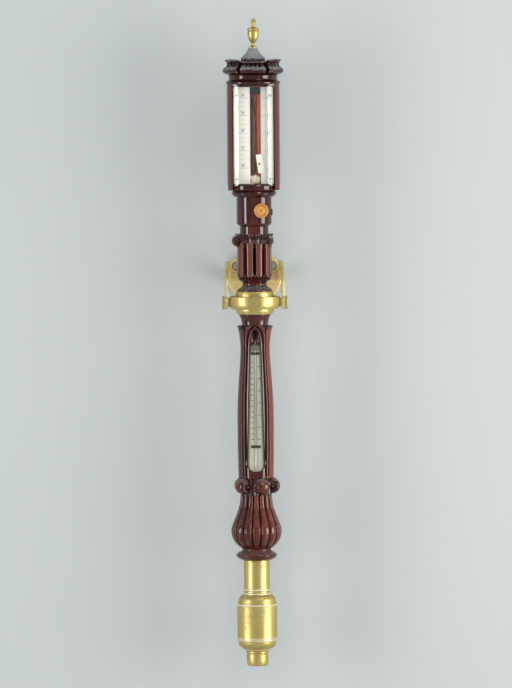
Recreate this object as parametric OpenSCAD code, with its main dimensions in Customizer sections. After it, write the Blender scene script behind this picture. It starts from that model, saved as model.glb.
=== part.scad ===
// Marine barometer in a carved mahogany case, hung in brass gimbals from a wall plate.
// Millimetres. The wall is the plane Y = 0, the front faces -Y and +Z is up.
// The origin is the centre of the wall plate's back face.

/* [Wall plate] */
// Radius of the round wall plate
plate_r = 39.5; // [39:0.5:56]
// Thickness of the wall plate
plate_t = 4; // [3.5:0.5:7]
// Width of the bevel round the plate's rim
plate_bevel = 1.6; // [0.6:0.1:2.4]
// Diameter of the circle that the wall screws lie on
screw_circle = 62; // [58:0.5:64]
// Radius of a wall screw's head
screw_head_r = 5; // [4:0.1:5.6]
// Radius of a wall screw's shank inside the plate
screw_shank_r = 2.4; // [1.8:0.1:2.8]
// Radius of a wall screw's thread in the wall
screw_stud_r = 2.1; // [1.5:0.1:2.4]
// Length of a wall screw's thread in the wall
screw_stud_h = 22; // [15:1:40]

/* [Yoke and gimbal] */
// Distance from the wall to the case's axis
case_gap = 92; // [88:1:130]
// Height of the wall plate's centre above the gimbal's pivots
pivot_drop = 34; // [28:0.5:40]
// Thickness of the yoke's brass strap
strap_t = 4.5; // [3:0.25:6]
// Height of the yoke's bridge on the wall plate
bridge_h = 14.5; // [10:0.5:18]
// Radius of the eye at the end of a yoke arm
eye_r = 9.5; // [7:0.5:12]
// Rise of the arm's swan neck above the wall plate's centre
arm_rise = 17; // [8:1:30]
// Outer radius of the gimbal ring
ring_r = 37; // [36:0.5:44]
// Thickness of the gimbal ring
ring_wall = 5; // [4:0.25:5.5]
// Height of the gimbal ring
ring_h = 18; // [14:0.5:20]
// How far the gimbal ring's outside draws in at its foot
ring_taper = 3.2; // [0.8:0.1:4.4]
// Gap between the gimbal ring and a yoke arm
arm_gap = 2; // [1:0.25:4]
// Radius of a pivot screw's head
pivot_head_r = 10; // [7:0.5:11]
// Thickness of a pivot screw's head
pivot_head_t = 3.6; // [2:0.2:5]
// Radius of a pivot screw's shank
pivot_r = 3; // [2:0.1:4]
// Outer radius of the collar on the case
collar_r = 27.5; // [27:0.25:28.5]
// Height of the collar on the case
collar_h = 33.2; // [28:0.2:34]
// Radius of the wooden tenon inside the collar
tenon_r = 20.8; // [16:0.2:21.2]

/* [Upper trunk] */
// Height of the flared foot that stands on the collar
foot_h = 17.4; // [14:0.2:24]
// Height of the fluted column
column_h = 46.4; // [36:0.2:60]
// Radius of the fluted column
column_r = 24.7; // [22:0.1:26]
// Number of flutes round the column
flute_count = 10; // [8:1:12]
// Radius of the cutter that makes a flute
flute_r = 5; // [3.5:0.1:5.5]
// Height of the band of scrolls over the column
scroll_h = 19; // [16:0.5:24]
// Number of scrolls in a band
scroll_count = 5; // [4:1:5]
// Radius of a scroll
scroll_r = 8.9; // [7:0.1:9.4]
// Width of a scroll
scroll_w = 14; // [10:0.5:16]
// Height of the plain neck over the scrolls
neck_h = 11.5; // [8:0.5:18]
// Radius of the plain neck
neck_r = 20.7; // [20:0.1:23]
// Height of the barrel that holds the setting knob
barrel_h = 42; // [38:0.5:60]
// Radius of the barrel
barrel_r = 25.4; // [24.8:0.1:28]

/* [Head] */
// Height of the moulding under the sill
sill_moulding_h = 10.2; // [8:0.2:16]
// Height of the sill between the stiles
sill_h = 8; // [6:0.2:12]
// Height of the window, from the sill to the cornice
window_h = 145.7; // [135:0.5:190]
// Outer radius of the head
head_r = 38.3; // [37.5:0.1:44]
// Half of the clear width between the stiles
window_half_w = 30.5; // [29.5:0.1:31.5]
// Distance from the case's axis to the front face of the backboard
board_y = 8; // [7.6:0.1:9]
// Outer radius of the bowed glass
glass_r = 50; // [44:0.5:70]
// Distance from the case's axis to the front of the bowed glass
glass_front = 31; // [29.5:0.1:32]
// Thickness of the bowed glass
glass_t = 2; // [1.5:0.1:3]
// Height of the cornice's lip
lip_h = 6.5; // [5:0.1:10]
// Radius of the cornice's lip
lip_r = 39.6; // [39:0.1:45]
// Height of the hollow moulding over the lip
cavetto_h = 6.5; // [4:0.1:12]
// Height of the carved crown
crown_h = 22.5; // [18:0.5:32]
// Greatest radius of the carved crown
crown_r = 45; // [42:0.5:52]
// Number of leaves round the crown
leaf_count = 6; // [5:1:8]
// Height of the roof's cone
cone_h = 20.3; // [14:0.5:30]
// Radius of the roof's cone
cone_r = 17.5; // [14:0.5:22]
// Height of the brass finial
finial_h = 42.8; // [34:0.5:60]
// Radius of the finial's urn
urn_r = 8.9; // [7:0.1:12]

/* [Scales and vernier] */
// Thickness of a scale plate
scale_t = 1.5; // [1:0.1:2]
// Gap between the left scale plate and the case's axis
scale_left_gap = 4.9; // [4.5:0.1:6]
// Gap between the right scale plate and the case's axis
scale_right_gap = 10.6; // [10.4:0.1:11.5]
// Radius of a scale screw's head
scale_screw_r = 2; // [1.5:0.1:2.4]
// Height of the vernier plate
vernier_h = 27; // [22:0.5:30]
// Width of the vernier plate
vernier_w = 9.4; // [8:0.1:10]
// Lean of the vernier plate to the left, in degrees
vernier_lean = 8.5; // [0:0.5:10]
// Travel of the vernier up the scale
vernier_travel = 85; // [60:1:85]
// Tooth module of the rack and pinion
tooth_module = 0.8; // [0.7:0.05:0.85]
// Number of teeth on the pinion
pinion_teeth = 10; // [9:1:10]
// Distance of the setting knob to the right of the case's axis
knob_x = 10.4; // [9.8:0.1:11]
// Radius of the setting knob
knob_r = 10.5; // [8:0.1:12]
// Thickness of the setting knob
knob_t = 7; // [5:0.2:10]
// Radius of the pinion's shaft
shaft_r = 1.5; // [1.2:0.05:1.8]

/* [Barometer tube] */
// Outer radius of the glass tube
tube_r = 4.7; // [4:0.1:4.8]
// Radius of the tube's bore
tube_bore_r = 2.5; // [1.5:0.1:3]
// Height of the empty space in the tube over the mercury
vacuum_h = 23.7; // [10:0.1:60]

/* [Lower trunk] */
// Height of the plain neck under the collar
throat_h = 16.7; // [12:0.5:24]
// Height of the carved shaft
shaft_h = 221; // [200:1:260]
// Radius of the leaf tips at the top of the shaft
petal_r = 25.4; // [24:0.1:28]
// Radius of the shaft where it is slimmest
shaft_slim_r = 21.5; // [20.8:0.1:24]
// Radius of the shaft where it is fullest
shaft_full_r = 26.4; // [25:0.1:30]
// Number of carved grooves round the shaft
groove_count = 10; // [8:2:12]
// Height of the lower band of scrolls
ball_band_h = 26; // [24:0.5:34]
// Radius of a scroll in the lower band
ball_r = 11.8; // [9:0.1:12]
// Distance of a lower scroll's centre from the axis
ball_place_r = 23; // [20:0.5:26]
// Height of the gadrooned bulb
bulb_h = 79; // [66:1:100]
// Greatest radius of the bulb
bulb_r = 36.5; // [32:0.5:42]
// Number of lobes round the bulb
lobe_count = 16; // [12:1:20]
// Height of the flange under the bulb
flange_h = 15.3; // [12:0.5:20]
// Radius of the flange
flange_r = 30; // [26:0.5:36]

/* [Thermometer] */
// Half width of the thermometer's window at its top
pane_top_r = 9.1; // [8:0.1:10]
// Half width of the thermometer's window at its foot
pane_foot_r = 13.2; // [11:0.1:14]
// Height of the thermometer's window
pane_h = 188; // [150:1:190]
// Depth of the pocket's floor in front of the case's axis
pocket_y = 11.5; // [11:0.1:12]
// Radius of the thermometer's tube
stem_r = 1.6; // [1.2:0.1:1.8]

/* [Cistern] */
// Height of the brass sleeve under the flange
sleeve_h = 49.3; // [40:0.5:70]
// Outer radius of the brass sleeve
sleeve_r = 18.9; // [16:0.1:20.5]
// Height of the brass shell
shell_h = 65.2; // [58:0.5:90]
// Outer radius of the brass shell
shell_r = 29; // [27:0.5:31]
// Wall of the brass shell
shell_wall = 2.1; // [1.5:0.1:3]
// Height of the brass base under the shell
base_h = 17.4; // [15:0.2:24]
// Height of the knob on the portable screw
bottom_knob_h = 21.6; // [14:0.2:30]
// Radius of the knob on the portable screw
bottom_knob_r = 16; // [12:0.5:20]
// Radius of the portable screw
screw_r = 4; // [3:0.1:5]
// Travel of the portable screw
screw_travel = 6; // [4:0.5:7]
// Wall of the boxwood cistern
cistern_wall = 6; // [4:0.5:7]
// Thickness of the leather under the mercury
leather_t = 1.2; // [0.8:0.1:2]

/* [Clearances] */
// Gap between a turning part and what it turns in
run_gap = 0.05; // [0.02:0.01:0.09]
// Gap between pieces that are glued, screwed or pressed together
fit_gap = 0.02; // [0.01:0.01:0.05]
// Gap between a piece that slides and its groove
slide_gap = 0.2; // [0.1:0.05:0.3]
// Gap between the glass tube and the wood round it
tube_gap = 0.5; // [0.3:0.05:0.6]

/* [Hidden] */
$fn = 96;

// Heights of the joints between the pieces, measured from the gimbal's pivots
z_foot = collar_h / 2;
z_column = z_foot + foot_h;
z_scroll = z_column + column_h;
z_neck = z_scroll + scroll_h;
z_barrel = z_neck + neck_h;
z_sill = z_barrel + barrel_h;
z_ledge = z_sill + sill_moulding_h;
z_window = z_ledge + sill_h;
z_cornice = z_window + window_h;
z_lip = z_cornice + lip_h;
z_crown = z_lip + cavetto_h;
z_crown_top = z_crown + crown_h;
cone_sink = 3.6;
z_roof = z_crown_top - cone_sink;
z_finial = z_roof + cone_h;
z_throat = -collar_h / 2;
z_petal = z_throat - throat_h;
z_ball_band = z_petal - shaft_h;
z_bulb = z_ball_band - ball_band_h;
z_flange = z_bulb - bulb_h;
z_sleeve = z_flange - flange_h;
z_shell = z_sleeve - sleeve_h;
z_base = z_shell - shell_h;
z_knob = z_base - base_h - 0.2;
z_bottom = z_knob - bottom_knob_h;

// Insides of the cistern
shell_in_r = shell_r - shell_wall;
spigot_h = 6;
spigot_r = shell_in_r - fit_gap;
spigot_wall = 5.2;
z_leather = z_base + spigot_h;
z_cistern = z_leather + leather_t;
cistern_r = shell_in_r - 1.4;
cistern_in_r = cistern_r - cistern_wall;
shoulder_h = 12.5;
z_lid_top = z_shell - shoulder_h + 0.5;
lid_h = 13.5;
z_lid = z_lid_top - lid_h;
mercury_depth = 16.5;
z_mercury = z_cistern + mercury_depth;
z_tube_foot = z_cistern + 4.5;
z_tube_top = z_cornice - 13.5;
z_mercury_top = z_tube_top - vacuum_h;
pad_t = 3;
pad_r = cistern_in_r - 1.5;
z_pad = z_leather - 0.3;
pad_hub_r = 6.5;
pad_hub_h = 0.8;
z_screw_tip = z_pad - 1.4;
z_shoulder = z_pad - pad_t - pad_hub_h - 0.1;
z_well = z_shoulder - screw_travel - 1.2;

// Rack, pinion and knob
tube_bore = tube_r + tube_gap;
z_setting = z_sill - 19;
pitch_r = tooth_module * pinion_teeth / 2;
base_r = pitch_r * cos(20);
tip_r = pitch_r + 0.8 * tooth_module;
root_r = pitch_r - 0.82 * tooth_module;
tooth_pitch = PI * tooth_module;
backlash = 0.06;
rack_x = knob_x + pitch_r;
rack_add = 0.56 * tooth_module;
rack_ded = 1.06 * tooth_module;
rack_back = rack_x + 3.8;
rack_y = board_y - 0.4;
rack_t = 4;
groove_y = rack_y - rack_t - slide_gap;
z_vernier = z_window + 30;
post_x = 8;
post_r = 1.6;
lug_h = 6;
z_rack_foot = z_setting - vernier_travel - 7;
vernier_t = 1.2;
vernier_y = board_y + scale_t + 0.5;
knob_y = max(barrel_r, column_r) + 0.5;
bush_r = tip_r + 0.5;
shaft_tail = 3;

// Gimbal
ring_in_r = ring_r - ring_wall;
collar_in_r = tenon_r + fit_gap;
arm_x = ring_r + arm_gap;
boss_r = 6;
seat_t = 0.5;
case_pivot_r = pivot_r - 0.4;
collar_taper = 1.9;

// Head
glass_y = glass_r - glass_front;
groove_d = 1.5;
rail_h = 2.9;
rail_t = 2.2;
plate_foot = z_window + 1;
plate_top = z_cornice - 4.6;
scale_half_w = window_half_w - 1.6;

// Thermometer
z_pane_top = z_petal - 25 - pane_top_r;
z_pane_foot = z_petal - 25 - pane_h + pane_foot_r;
therm_scale_t = 1.5;
stem_y = pocket_y + therm_scale_t + stem_r + 0.1;
clip_t = 0.5;
therm_glass_y = stem_y + stem_r + clip_t + 0.2;
therm_glass_t = 1.1;
bead_w = 1.3;
bead_t = 0.9;

// Carving
cut_w = 2.6;
cut_d = 2.8;
scroll_turn = -90;
ball_turn = -50;

// A smooth curve through key points [radius, height], with steps points between keys
function blend_at(a, b, c, d, t) =
    ((2 * b) + (c - a) * t + (2 * a - 5 * b + 4 * c - d) * t * t
    + (3 * b - a - 3 * c + d) * t * t * t) / 2;
function smooth(keys, steps = 6) = concat(
    [for (i = [0 : len(keys) - 2]) for (s = [0 : steps - 1])
        blend_at(keys[max(i - 1, 0)], keys[i], keys[i + 1],
            keys[min(i + 2, len(keys) - 1)], s / steps)],
    [keys[len(keys) - 1]]);
// Points [radius, height] on an arc of radius r about a centre [cr, cz]
function arc(cr, cz, r, from, to, steps = 8) =
    [for (s = [0 : steps]) let (a = from + (to - from) * s / steps)
        [cr + r * cos(a), cz + r * sin(a)]];

module at_pivot() { translate([0, -case_gap, -pivot_drop]) children(); }
module turned(points) { rotate_extrude() polygon(points); }
// A round bar or hole along Y, from distance front to distance back behind the front
module bar_y(r, front, back) {
    translate([0, -front, 0]) rotate([-90, 0, 0]) cylinder(r = r, h = front + back);
}
module bar_z(r, foot, top) { translate([0, 0, foot]) cylinder(r = r, h = top - foot); }
module block(x0, x1, y0, y1, z0, z1) {
    translate([x0, y0, z0]) cube([x1 - x0, y1 - y0, z1 - z0]);
}
module around(count, start = 0) {
    for (i = [0 : count - 1]) rotate([0, 0, start + i * 360 / count]) children();
}
// A slab that cuts a groove along a turned outline of points [radius, height], top point first,
// and runs out at a slant above and below
module groove_cutter(outline, depth = cut_d, width = cut_w) {
    far = 60;
    n = len(outline);
    edge = concat([for (p = outline) [p[0] - depth, p[1]]],
        [[far, outline[n - 1][1] - 6], [far, outline[0][1] + 6]]);
    rotate([90, 0, 0]) linear_extrude(width, center = true) polygon(edge);
}
// A scroll lying across the radius, with a raised eye on each end
module scroll(r, w) {
    rotate([90, 0, 0]) cylinder(r = r, h = w, center = true);
    rotate([90, 0, 0]) cylinder(r = r * 0.62, h = w + 2, center = true);
    rotate([90, 0, 0]) cylinder(r = r * 0.28, h = w + 3.4, center = true);
}
// A slot with round ends that widens towards its foot, drawn on the XZ plane
module slot_face(grow = 0) {
    r1 = pane_top_r + grow;
    r2 = pane_foot_r + grow;
    lean = asin((r2 - r1) / (z_pane_top - z_pane_foot));
    polygon(concat(arc(0, z_pane_top, r1, lean, 180 - lean, 16),
        arc(0, z_pane_foot, r2, 180 - lean, 360 + lean, 16)));
}
// The same slot as a solid from distance back to distance front before the axis
module slot_solid(back, front, grow = 0) {
    translate([0, -back, 0]) rotate([90, 0, 0]) linear_extrude(front - back) slot_face(grow);
}
// The bowed glass, or the groove for it when grow is over 0
module bow(z0, z1, grow = 0) {
    reach = window_half_w + groove_d + grow;
    intersection() {
        translate([0, glass_y, 0]) difference() {
            bar_z(glass_r + grow, z0, z1);
            bar_z(glass_r - glass_t - grow, z0 - 1, z1 + 1);
        }
        block(-reach, reach, -glass_front - 1, 0, z0, z1);
    }
}

// Bracket on the wall
module screw_places() {
    for (a = [30, 150, 270]) rotate([0, -a, 0]) translate([screw_circle / 2, 0, 0]) children();
}
module wall_plate() {
    color("goldenrod") difference() {
        rotate([90, 0, 0]) turned([[0, 0], [plate_r, 0], [plate_r, plate_t - plate_bevel],
            [plate_r - plate_bevel, plate_t], [0, plate_t]]);
        screw_places() {
            hole_r = screw_shank_r + 0.2;
            bar_y(hole_r, plate_t + 1, 1);
            sink = screw_head_r - screw_shank_r;
            rotate([90, 0, 0]) translate([0, 0, plate_t - sink])
                cylinder(r1 = hole_r, r2 = screw_head_r + 0.2, h = sink + 0.001);
        }
        for (x = [-1, 1]) translate([x * 12, 0, 0]) bar_y(2 + fit_gap, plate_t + 1, -1);
    }
}
module wall_screws() {
    sink = screw_head_r - screw_shank_r;
    tip = 5;
    color("dimgray") screw_places() rotate([90, 0, 0]) difference() {
        turned([[0, plate_t], [screw_head_r, plate_t], [screw_shank_r, plate_t - sink],
            [screw_shank_r, 0], [screw_stud_r, 0], [screw_stud_r, -screw_stud_h],
            [0, -screw_stud_h - tip]]);
        translate([0, 0, plate_t]) cube([screw_head_r * 3, 1.1, 1.6], center = true);
    }
}
// Side outline of a yoke arm: a swan neck from the wall plate to the pivot, then its eye
function neck_point(t) =
    let (a = [-plate_t - strap_t / 2, -2], b = [-24, arm_rise * 1.9],
        c = [-case_gap + 12, arm_rise * 1.3], d = [-case_gap, -pivot_drop])
    a * pow(1 - t, 3) + b * 3 * t * pow(1 - t, 2) + c * 3 * t * t * (1 - t) + d * pow(t, 3);
function neck_half(t) = bridge_h / 2 * (1 - t) + eye_r * 0.6 * t;
module arm_face() {
    steps = 24;
    mids = [for (i = [0 : steps]) neck_point(i / steps)];
    dirs = [for (i = [0 : steps])
        let (d = mids[min(i + 1, steps)] - mids[max(i - 1, 0)]) d / norm(d)];
    side = [for (i = [0 : steps])
        mids[i] + neck_half(i / steps) * [-dirs[i][1], dirs[i][0]]];
    back = [for (i = [steps : -1 : 0])
        mids[i] - neck_half(i / steps) * [-dirs[i][1], dirs[i][0]]];
    intersection() {
        polygon(concat(side, back));
        translate([-case_gap * 2, -pivot_drop * 3])
            square([case_gap * 2 - plate_t, pivot_drop * 6]);
    }
    translate([-case_gap, -pivot_drop]) circle(r = eye_r);
}
module yoke() {
    color("darkgoldenrod") difference() {
        union() {
            block(-arm_x, arm_x, -plate_t - strap_t, -plate_t,
                -2 - bridge_h / 2, -2 + bridge_h / 2);
            for (side = [-1, 1]) translate([side > 0 ? arm_x : -arm_x - strap_t, 0, 0])
                rotate([90, 0, 90]) linear_extrude(strap_t) arm_face();
        }
        at_pivot() rotate([0, 90, 0])
            cylinder(r = pivot_r + run_gap, h = 4 * arm_x, center = true);
        for (x = [-1, 1]) translate([x * 12, 0, 0]) bar_y(2 + fit_gap, plate_t * 3, 0);
    }
}
module yoke_screws() {
    color("peru") for (x = [-1, 1]) translate([x * 12, -plate_t - strap_t, 0])
        rotate([90, 0, 0]) {
            translate([0, 0, -strap_t - 2]) cylinder(r = 2, h = strap_t + 2.5);
            difference() {
                translate([0, 0, 0.02]) cylinder(r = 3.6, h = 1.8);
                translate([0, 0, 1.8]) cube([9, 0.9, 1.2], center = true);
            }
        }
}

// Gimbal ring and its screws
module gimbal_ring() {
    color("gold") at_pivot() difference() {
        union() {
            turned(concat([[ring_in_r, -ring_h / 2]],
                smooth([[ring_r - ring_taper, -ring_h / 2],
                    [ring_r - ring_taper * 0.5, -ring_h * 0.37],
                    [ring_r - ring_taper * 0.14, -ring_h * 0.17], [ring_r, ring_h * 0.06]], 4),
                [[ring_r, ring_h / 2 - 0.8], [ring_r - 0.8, ring_h / 2],
                    [ring_in_r, ring_h / 2]]));
            for (side = [-1, 1]) {
                translate([side * (ring_r - 1.5 + arm_gap / 2), 0, 0]) rotate([0, 90, 0])
                    cylinder(r = boss_r, h = arm_gap + 2.6, center = true);
                translate([0, side * (ring_r - 2 + seat_t / 2), 0]) rotate([90, 0, 0])
                    cylinder(r = ring_h / 2 - 0.2, h = 4 + seat_t, center = true);
            }
        }
        bar_z(ring_in_r, -ring_h, ring_h);
        rotate([0, 90, 0]) cylinder(r = pivot_r + fit_gap, h = 4 * ring_r, center = true);
        bar_y(case_pivot_r + fit_gap, 2 * ring_r, 2 * ring_r);
    }
}
module ring_pivot_screws() {
    color("khaki") at_pivot() for (side = [0, 180]) rotate([0, 0, side]) rotate([0, 90, 0])
        difference() {
            turned([[0, ring_in_r + 0.6], [pivot_r, ring_in_r + 0.6],
                [pivot_r, arm_x + strap_t + 0.2], [pivot_head_r, arm_x + strap_t + 0.2],
                [pivot_head_r, arm_x + strap_t + pivot_head_t - 0.4],
                [pivot_head_r - 0.6, arm_x + strap_t + pivot_head_t + 0.2],
                [0, arm_x + strap_t + pivot_head_t + 0.2]]);
            translate([0, 0, arm_x + strap_t + pivot_head_t])
                cube([pivot_head_r * 3, 1.2, 1.8], center = true);
        }
}
module case_pivot_screws() {
    seat = ring_r + seat_t + 0.02;
    color("khaki") at_pivot() for (side = [90, 270]) rotate([0, 0, side]) rotate([0, 90, 0])
        difference() {
            turned([[0, collar_in_r + 1], [case_pivot_r, collar_in_r + 1],
                [case_pivot_r, seat], [pivot_head_r + 0.3, seat],
                [pivot_head_r + 0.3, seat + pivot_head_t - 0.6],
                [pivot_head_r - 0.3, seat + pivot_head_t],
                [0, seat + pivot_head_t]]);
            translate([0, 0, seat + pivot_head_t]) rotate([0, 0, 25])
                cube([pivot_head_r * 3, 1.2, 1.6], center = true);
        }
}
module gimbal_collar() {
    half = collar_h / 2;
    mid = half - 5;
    color("gold") at_pivot() difference() {
        turned([[collar_in_r, -half], [collar_r - collar_taper, -half], [collar_r, -mid],
            [collar_r, mid], [collar_r - 0.6, half - 1], [collar_r - 1.4, half],
            [collar_in_r, half]]);
        bar_y(case_pivot_r + run_gap, 2 * collar_r, 2 * collar_r);
    }
}

// Roof of the head
module finial() {
    stem_w = urn_r * 0.42;
    rim = finial_h * 0.66;
    color("gold") at_pivot() translate([0, 0, z_finial]) turned(concat(
        [[0, -12], [2.5, -12], [2.5, 0], [urn_r * 0.62, 0], [urn_r * 0.62, 1.6]],
        smooth([[urn_r * 0.42, 2.6], [urn_r * 0.38, 5], [urn_r * 0.6, 8.5],
            [urn_r * 0.93, 15], [urn_r * 0.97, rim - 5]], 5),
        [[urn_r * 0.88, rim - 4.4], [urn_r, rim - 3.6], [urn_r, rim - 1.6],
            [urn_r * 0.8, rim]],
        smooth([[stem_w, rim + 1.4], [stem_w * 0.9, rim + 4], [stem_w * 1.1, rim + 6.5],
            [stem_w * 1.15, finial_h - 4.5], [stem_w * 0.7, finial_h - 1]], 4),
        [[0, finial_h]]));
}
module roof_cone() {
    color("rosybrown") at_pivot() translate([0, 0, z_roof]) difference() {
        turned(concat([[0, 0], [cone_r - 1, 0], [cone_r, 1], [cone_r, 5.2]],
            smooth([[cone_r - 0.6, 5.8], [cone_r * 0.7, cone_h * 0.5],
                [urn_r * 0.75, cone_h * 0.93], [urn_r * 0.66, cone_h]], 6),
            [[0, cone_h]]));
        bar_z(2.5 + fit_gap, cone_h - 12.4, cone_h + 1);
    }
}
module carved_crown() {
    top = crown_h - cone_sink;
    color("saddlebrown") at_pivot() translate([0, 0, z_crown]) difference() {
        turned(concat([[0, 0], [crown_r - 9, 0]],
            smooth([[crown_r - 4.5, 1], [crown_r, 6], [crown_r - 3, 10.5],
                [crown_r - 8, 14.5], [crown_r - 5.5, 19], [crown_r - 6.2, crown_h]], 5),
            [[cone_r + 9, crown_h], [cone_r + 0.5, top], [0, top]]));
        around(leaf_count, 30 + 180 / leaf_count) {
            translate([crown_r - 5.5, 0, -1]) rotate([0, 0, -45]) cube([24, 24, crown_h + 2]);
            block(crown_r * 0.62, crown_r, -1.3, 1.3, 2.5, crown_h + 1);
        }
    }
}
module cornice() {
    color("brown") at_pivot() difference() {
        union() {
            turned(concat([[0, z_cornice], [lip_r - 1, z_cornice], [lip_r, z_cornice + 1],
                [lip_r, z_cornice + 3], [lip_r - 1.2, z_cornice + 4]],
                arc(lip_r + 1.2, z_lip + 3.4, 5.6, 232, 150, 6),
                [[crown_r - 9.2, z_crown], [0, z_crown]]));
            intersection() {
                translate([0, glass_y, 0]) difference() {
                    bar_z(glass_r + rail_t, z_cornice - rail_h, z_cornice + 1);
                    bar_z(glass_r + slide_gap, z_cornice - rail_h - 1, z_cornice + 2);
                }
                block(-window_half_w + slide_gap, window_half_w - slide_gap,
                    -head_r, 0, z_cornice - rail_h, z_cornice + 1);
            }
        }
        bow(z_cornice - 1, z_cornice + groove_d, slide_gap);
    }
}

// Walls of the head
module head_backboard() {
    recess = rack_back + slide_gap;
    color("sienna") at_pivot() difference() {
        intersection() {
            bar_z(head_r, z_window, z_cornice - 0.02);
            block(-head_r, head_r, -board_y, head_r, z_window, z_cornice);
        }
        block(-tube_bore, tube_bore, -board_y - 1, 0, z_window - 1, z_cornice - 4);
        bar_z(tube_bore, z_window - 1, z_cornice - 4);
        block(0, recess, -board_y - 1, -groove_y, z_window - 1, z_cornice - 4);
        scale_screw_places() bar_y(1.2 + fit_gap, 0, 7);
    }
}
module stile(side) {
    hang = sill_h;
    edge = side > 0 ? window_half_w : -head_r;
    at_pivot() difference() {
        intersection() {
            bar_z(head_r, z_window - hang, z_cornice - 0.02);
            block(edge, edge + head_r - window_half_w, -head_r, -board_y - 0.02,
                z_window - hang, z_cornice);
        }
        bow(z_window - hang - 1, z_cornice + 1, slide_gap);
    }
}
module stile_left() { color("maroon") stile(-1); }
module stile_right() { color("maroon") stile(1); }
module bow_glass() {
    color("lightcyan", 0.4) at_pivot()
        bow(z_window - groove_d + slide_gap, z_cornice + groove_d - slide_gap);
}
module sill() {
    inner = window_half_w - 0.02;
    color("brown") at_pivot() difference() {
        union() {
            intersection() {
                turned([[0, z_ledge], [head_r - 4, z_ledge], [head_r - 3.2, z_ledge + 1.5],
                    [head_r - 3.2, z_window - 1.5], [head_r - 4, z_window], [0, z_window]]);
                union() {
                    block(-inner, inner, -head_r, head_r, z_ledge - 1, z_window + 1);
                    block(-head_r, head_r, -board_y, head_r, z_ledge - 1, z_window + 1);
                }
            }
            turned(concat([[0, z_sill], [barrel_r + 1.6, z_sill]],
                smooth([[barrel_r + 4, z_sill + 1.2], [head_r - 6, z_sill + 4.5],
                    [head_r - 6.2, z_sill + 7], [head_r - 7.5, z_ledge]], 5),
                [[0, z_ledge]]));
        }
        bar_z(tube_bore, z_sill - 1, z_window + 1);
        block(knob_x, rack_back + slide_gap, -rack_y - slide_gap, -groove_y,
            z_sill - 1, z_window + 1);
        bow(z_window - groove_d, z_window + 1, slide_gap);
    }
}

// Carved trunk above the gimbal
module upper_trunk() {
    foot = z_foot + 0.02;
    color("brown") at_pivot() difference() {
        union() {
            turned(concat([[0, 0.2], [tenon_r, 0.2], [tenon_r, foot]],
                [[collar_r - 2, foot], [collar_r - 2, foot + 1.2]],
                smooth([[collar_r - 4, foot + foot_h * 0.17], [tenon_r - 1, foot + foot_h * 0.34],
                    [tenon_r - 3.4, foot + foot_h * 0.54], [tenon_r - 1.5, foot + foot_h * 0.66],
                    [column_r, z_column]], 5),
                [[column_r, z_scroll], [neck_r + 1.4, z_scroll + 2],
                    [neck_r + 1.4, z_neck - 3], [neck_r, z_neck],
                    [neck_r, z_barrel], [barrel_r, z_barrel + 4.3],
                    [barrel_r, z_sill - 0.02], [0, z_sill - 0.02]]));
            around(scroll_count, scroll_turn - 90)
                translate([25, 0, z_scroll + scroll_h / 2]) scroll(scroll_r, scroll_w);
        }
        around(flute_count, -90) translate([column_r + 1.6, 0, 0]) {
            bar_z(flute_r, z_column + 6, z_scroll + 1);
            translate([0, 0, z_column + 6]) sphere(r = flute_r);
        }
        bar_z(tube_bore, -1, z_sill + 1);
        block(rack_x - rack_add - slide_gap, rack_back + slide_gap, -rack_y - slide_gap,
            -groove_y, z_rack_foot - 2, z_sill + 1);
        translate([knob_x, 0, z_setting]) {
            bar_y(tip_r + 0.3, rack_y + slide_gap, -groove_y);
            bar_y(bush_r + fit_gap, 2 * barrel_r, -rack_y - slide_gap);
            bar_y(shaft_r + run_gap, rack_y, shaft_tail + 0.4);
        }
        translate([barrel_r - 5.4, 0, z_setting - 3]) rotate([0, 90, 0])
            cylinder(r = 5 + fit_gap, h = 20);
    }
}
module barrel_plug() {
    color("black") at_pivot() translate([barrel_r - 5.35, 0, z_setting - 3])
        rotate([0, 90, 0]) turned([[0, 0], [5, 0], [5, 6], [4, 6.9], [0, 6.9]]);
}

// Scales and vernier
module scale_screw_places() {
    for (x = [-1, 1], z = [plate_foot + 7, plate_top - 12])
        translate([x * (scale_half_w - 4.8), -board_y, z]) children();
}
module scale_plate(x0, x1) {
    at_pivot() difference() {
        block(x0, x1, -board_y - scale_t, -board_y - 0.02, plate_foot, plate_top);
        scale_screw_places() bar_y(1.2 + fit_gap, scale_t + 1, 1);
    }
}
module scale_plate_left() { color("ivory") scale_plate(-scale_half_w, -scale_left_gap); }
module scale_plate_right() { color("ivory") scale_plate(scale_right_gap, scale_half_w); }
module scale_screws() {
    color("sienna") at_pivot() scale_screw_places() rotate([90, 0, 0]) difference() {
        turned([[0, -6.5], [1.2, -6.5], [1.2, scale_t + 0.02],
            [scale_screw_r, scale_t + 0.02], [scale_screw_r * 0.7, scale_t + 0.9],
            [0, scale_t + 1.1]]);
        translate([0, 0, scale_t + 1]) cube([scale_screw_r * 3, 0.5, 0.9], center = true);
    }
}
module tube_cap() {
    foot = z_tube_top - 1.5;
    color("dimgray") at_pivot() difference() {
        block(-scale_left_gap + 0.1, scale_right_gap - 0.3, -board_y - 1, -0.02,
            foot, z_cornice - 4.2);
        bar_z(tube_r + fit_gap, foot - 1, z_tube_top + 0.1);
        block(tube_bore - 0.1, 20, -groove_y - 0.1, 1, foot - 1, z_cornice);
    }
}
module tube_packing() {
    foot = z_window + 0.3;
    color("wheat") at_pivot() difference() {
        intersection() {
            union() {
                translate([-0.4, -5, foot + 9]) sphere(r = 4.9);
                translate([0.6, -4.8, foot + 4.5]) sphere(r = 5.3);
                translate([5.2, -5.6, foot + 4]) sphere(r = 4.1);
                translate([6.9, -6.2, foot + 8.6]) sphere(r = 2.9);
            }
            block(-scale_left_gap + 0.15, scale_right_gap - 0.3, -board_y - 1.8, -groove_y - 0.1,
                foot, foot + 20);
        }
        bar_z(tube_r + fit_gap, foot - 1, foot + 30);
    }
}
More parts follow.
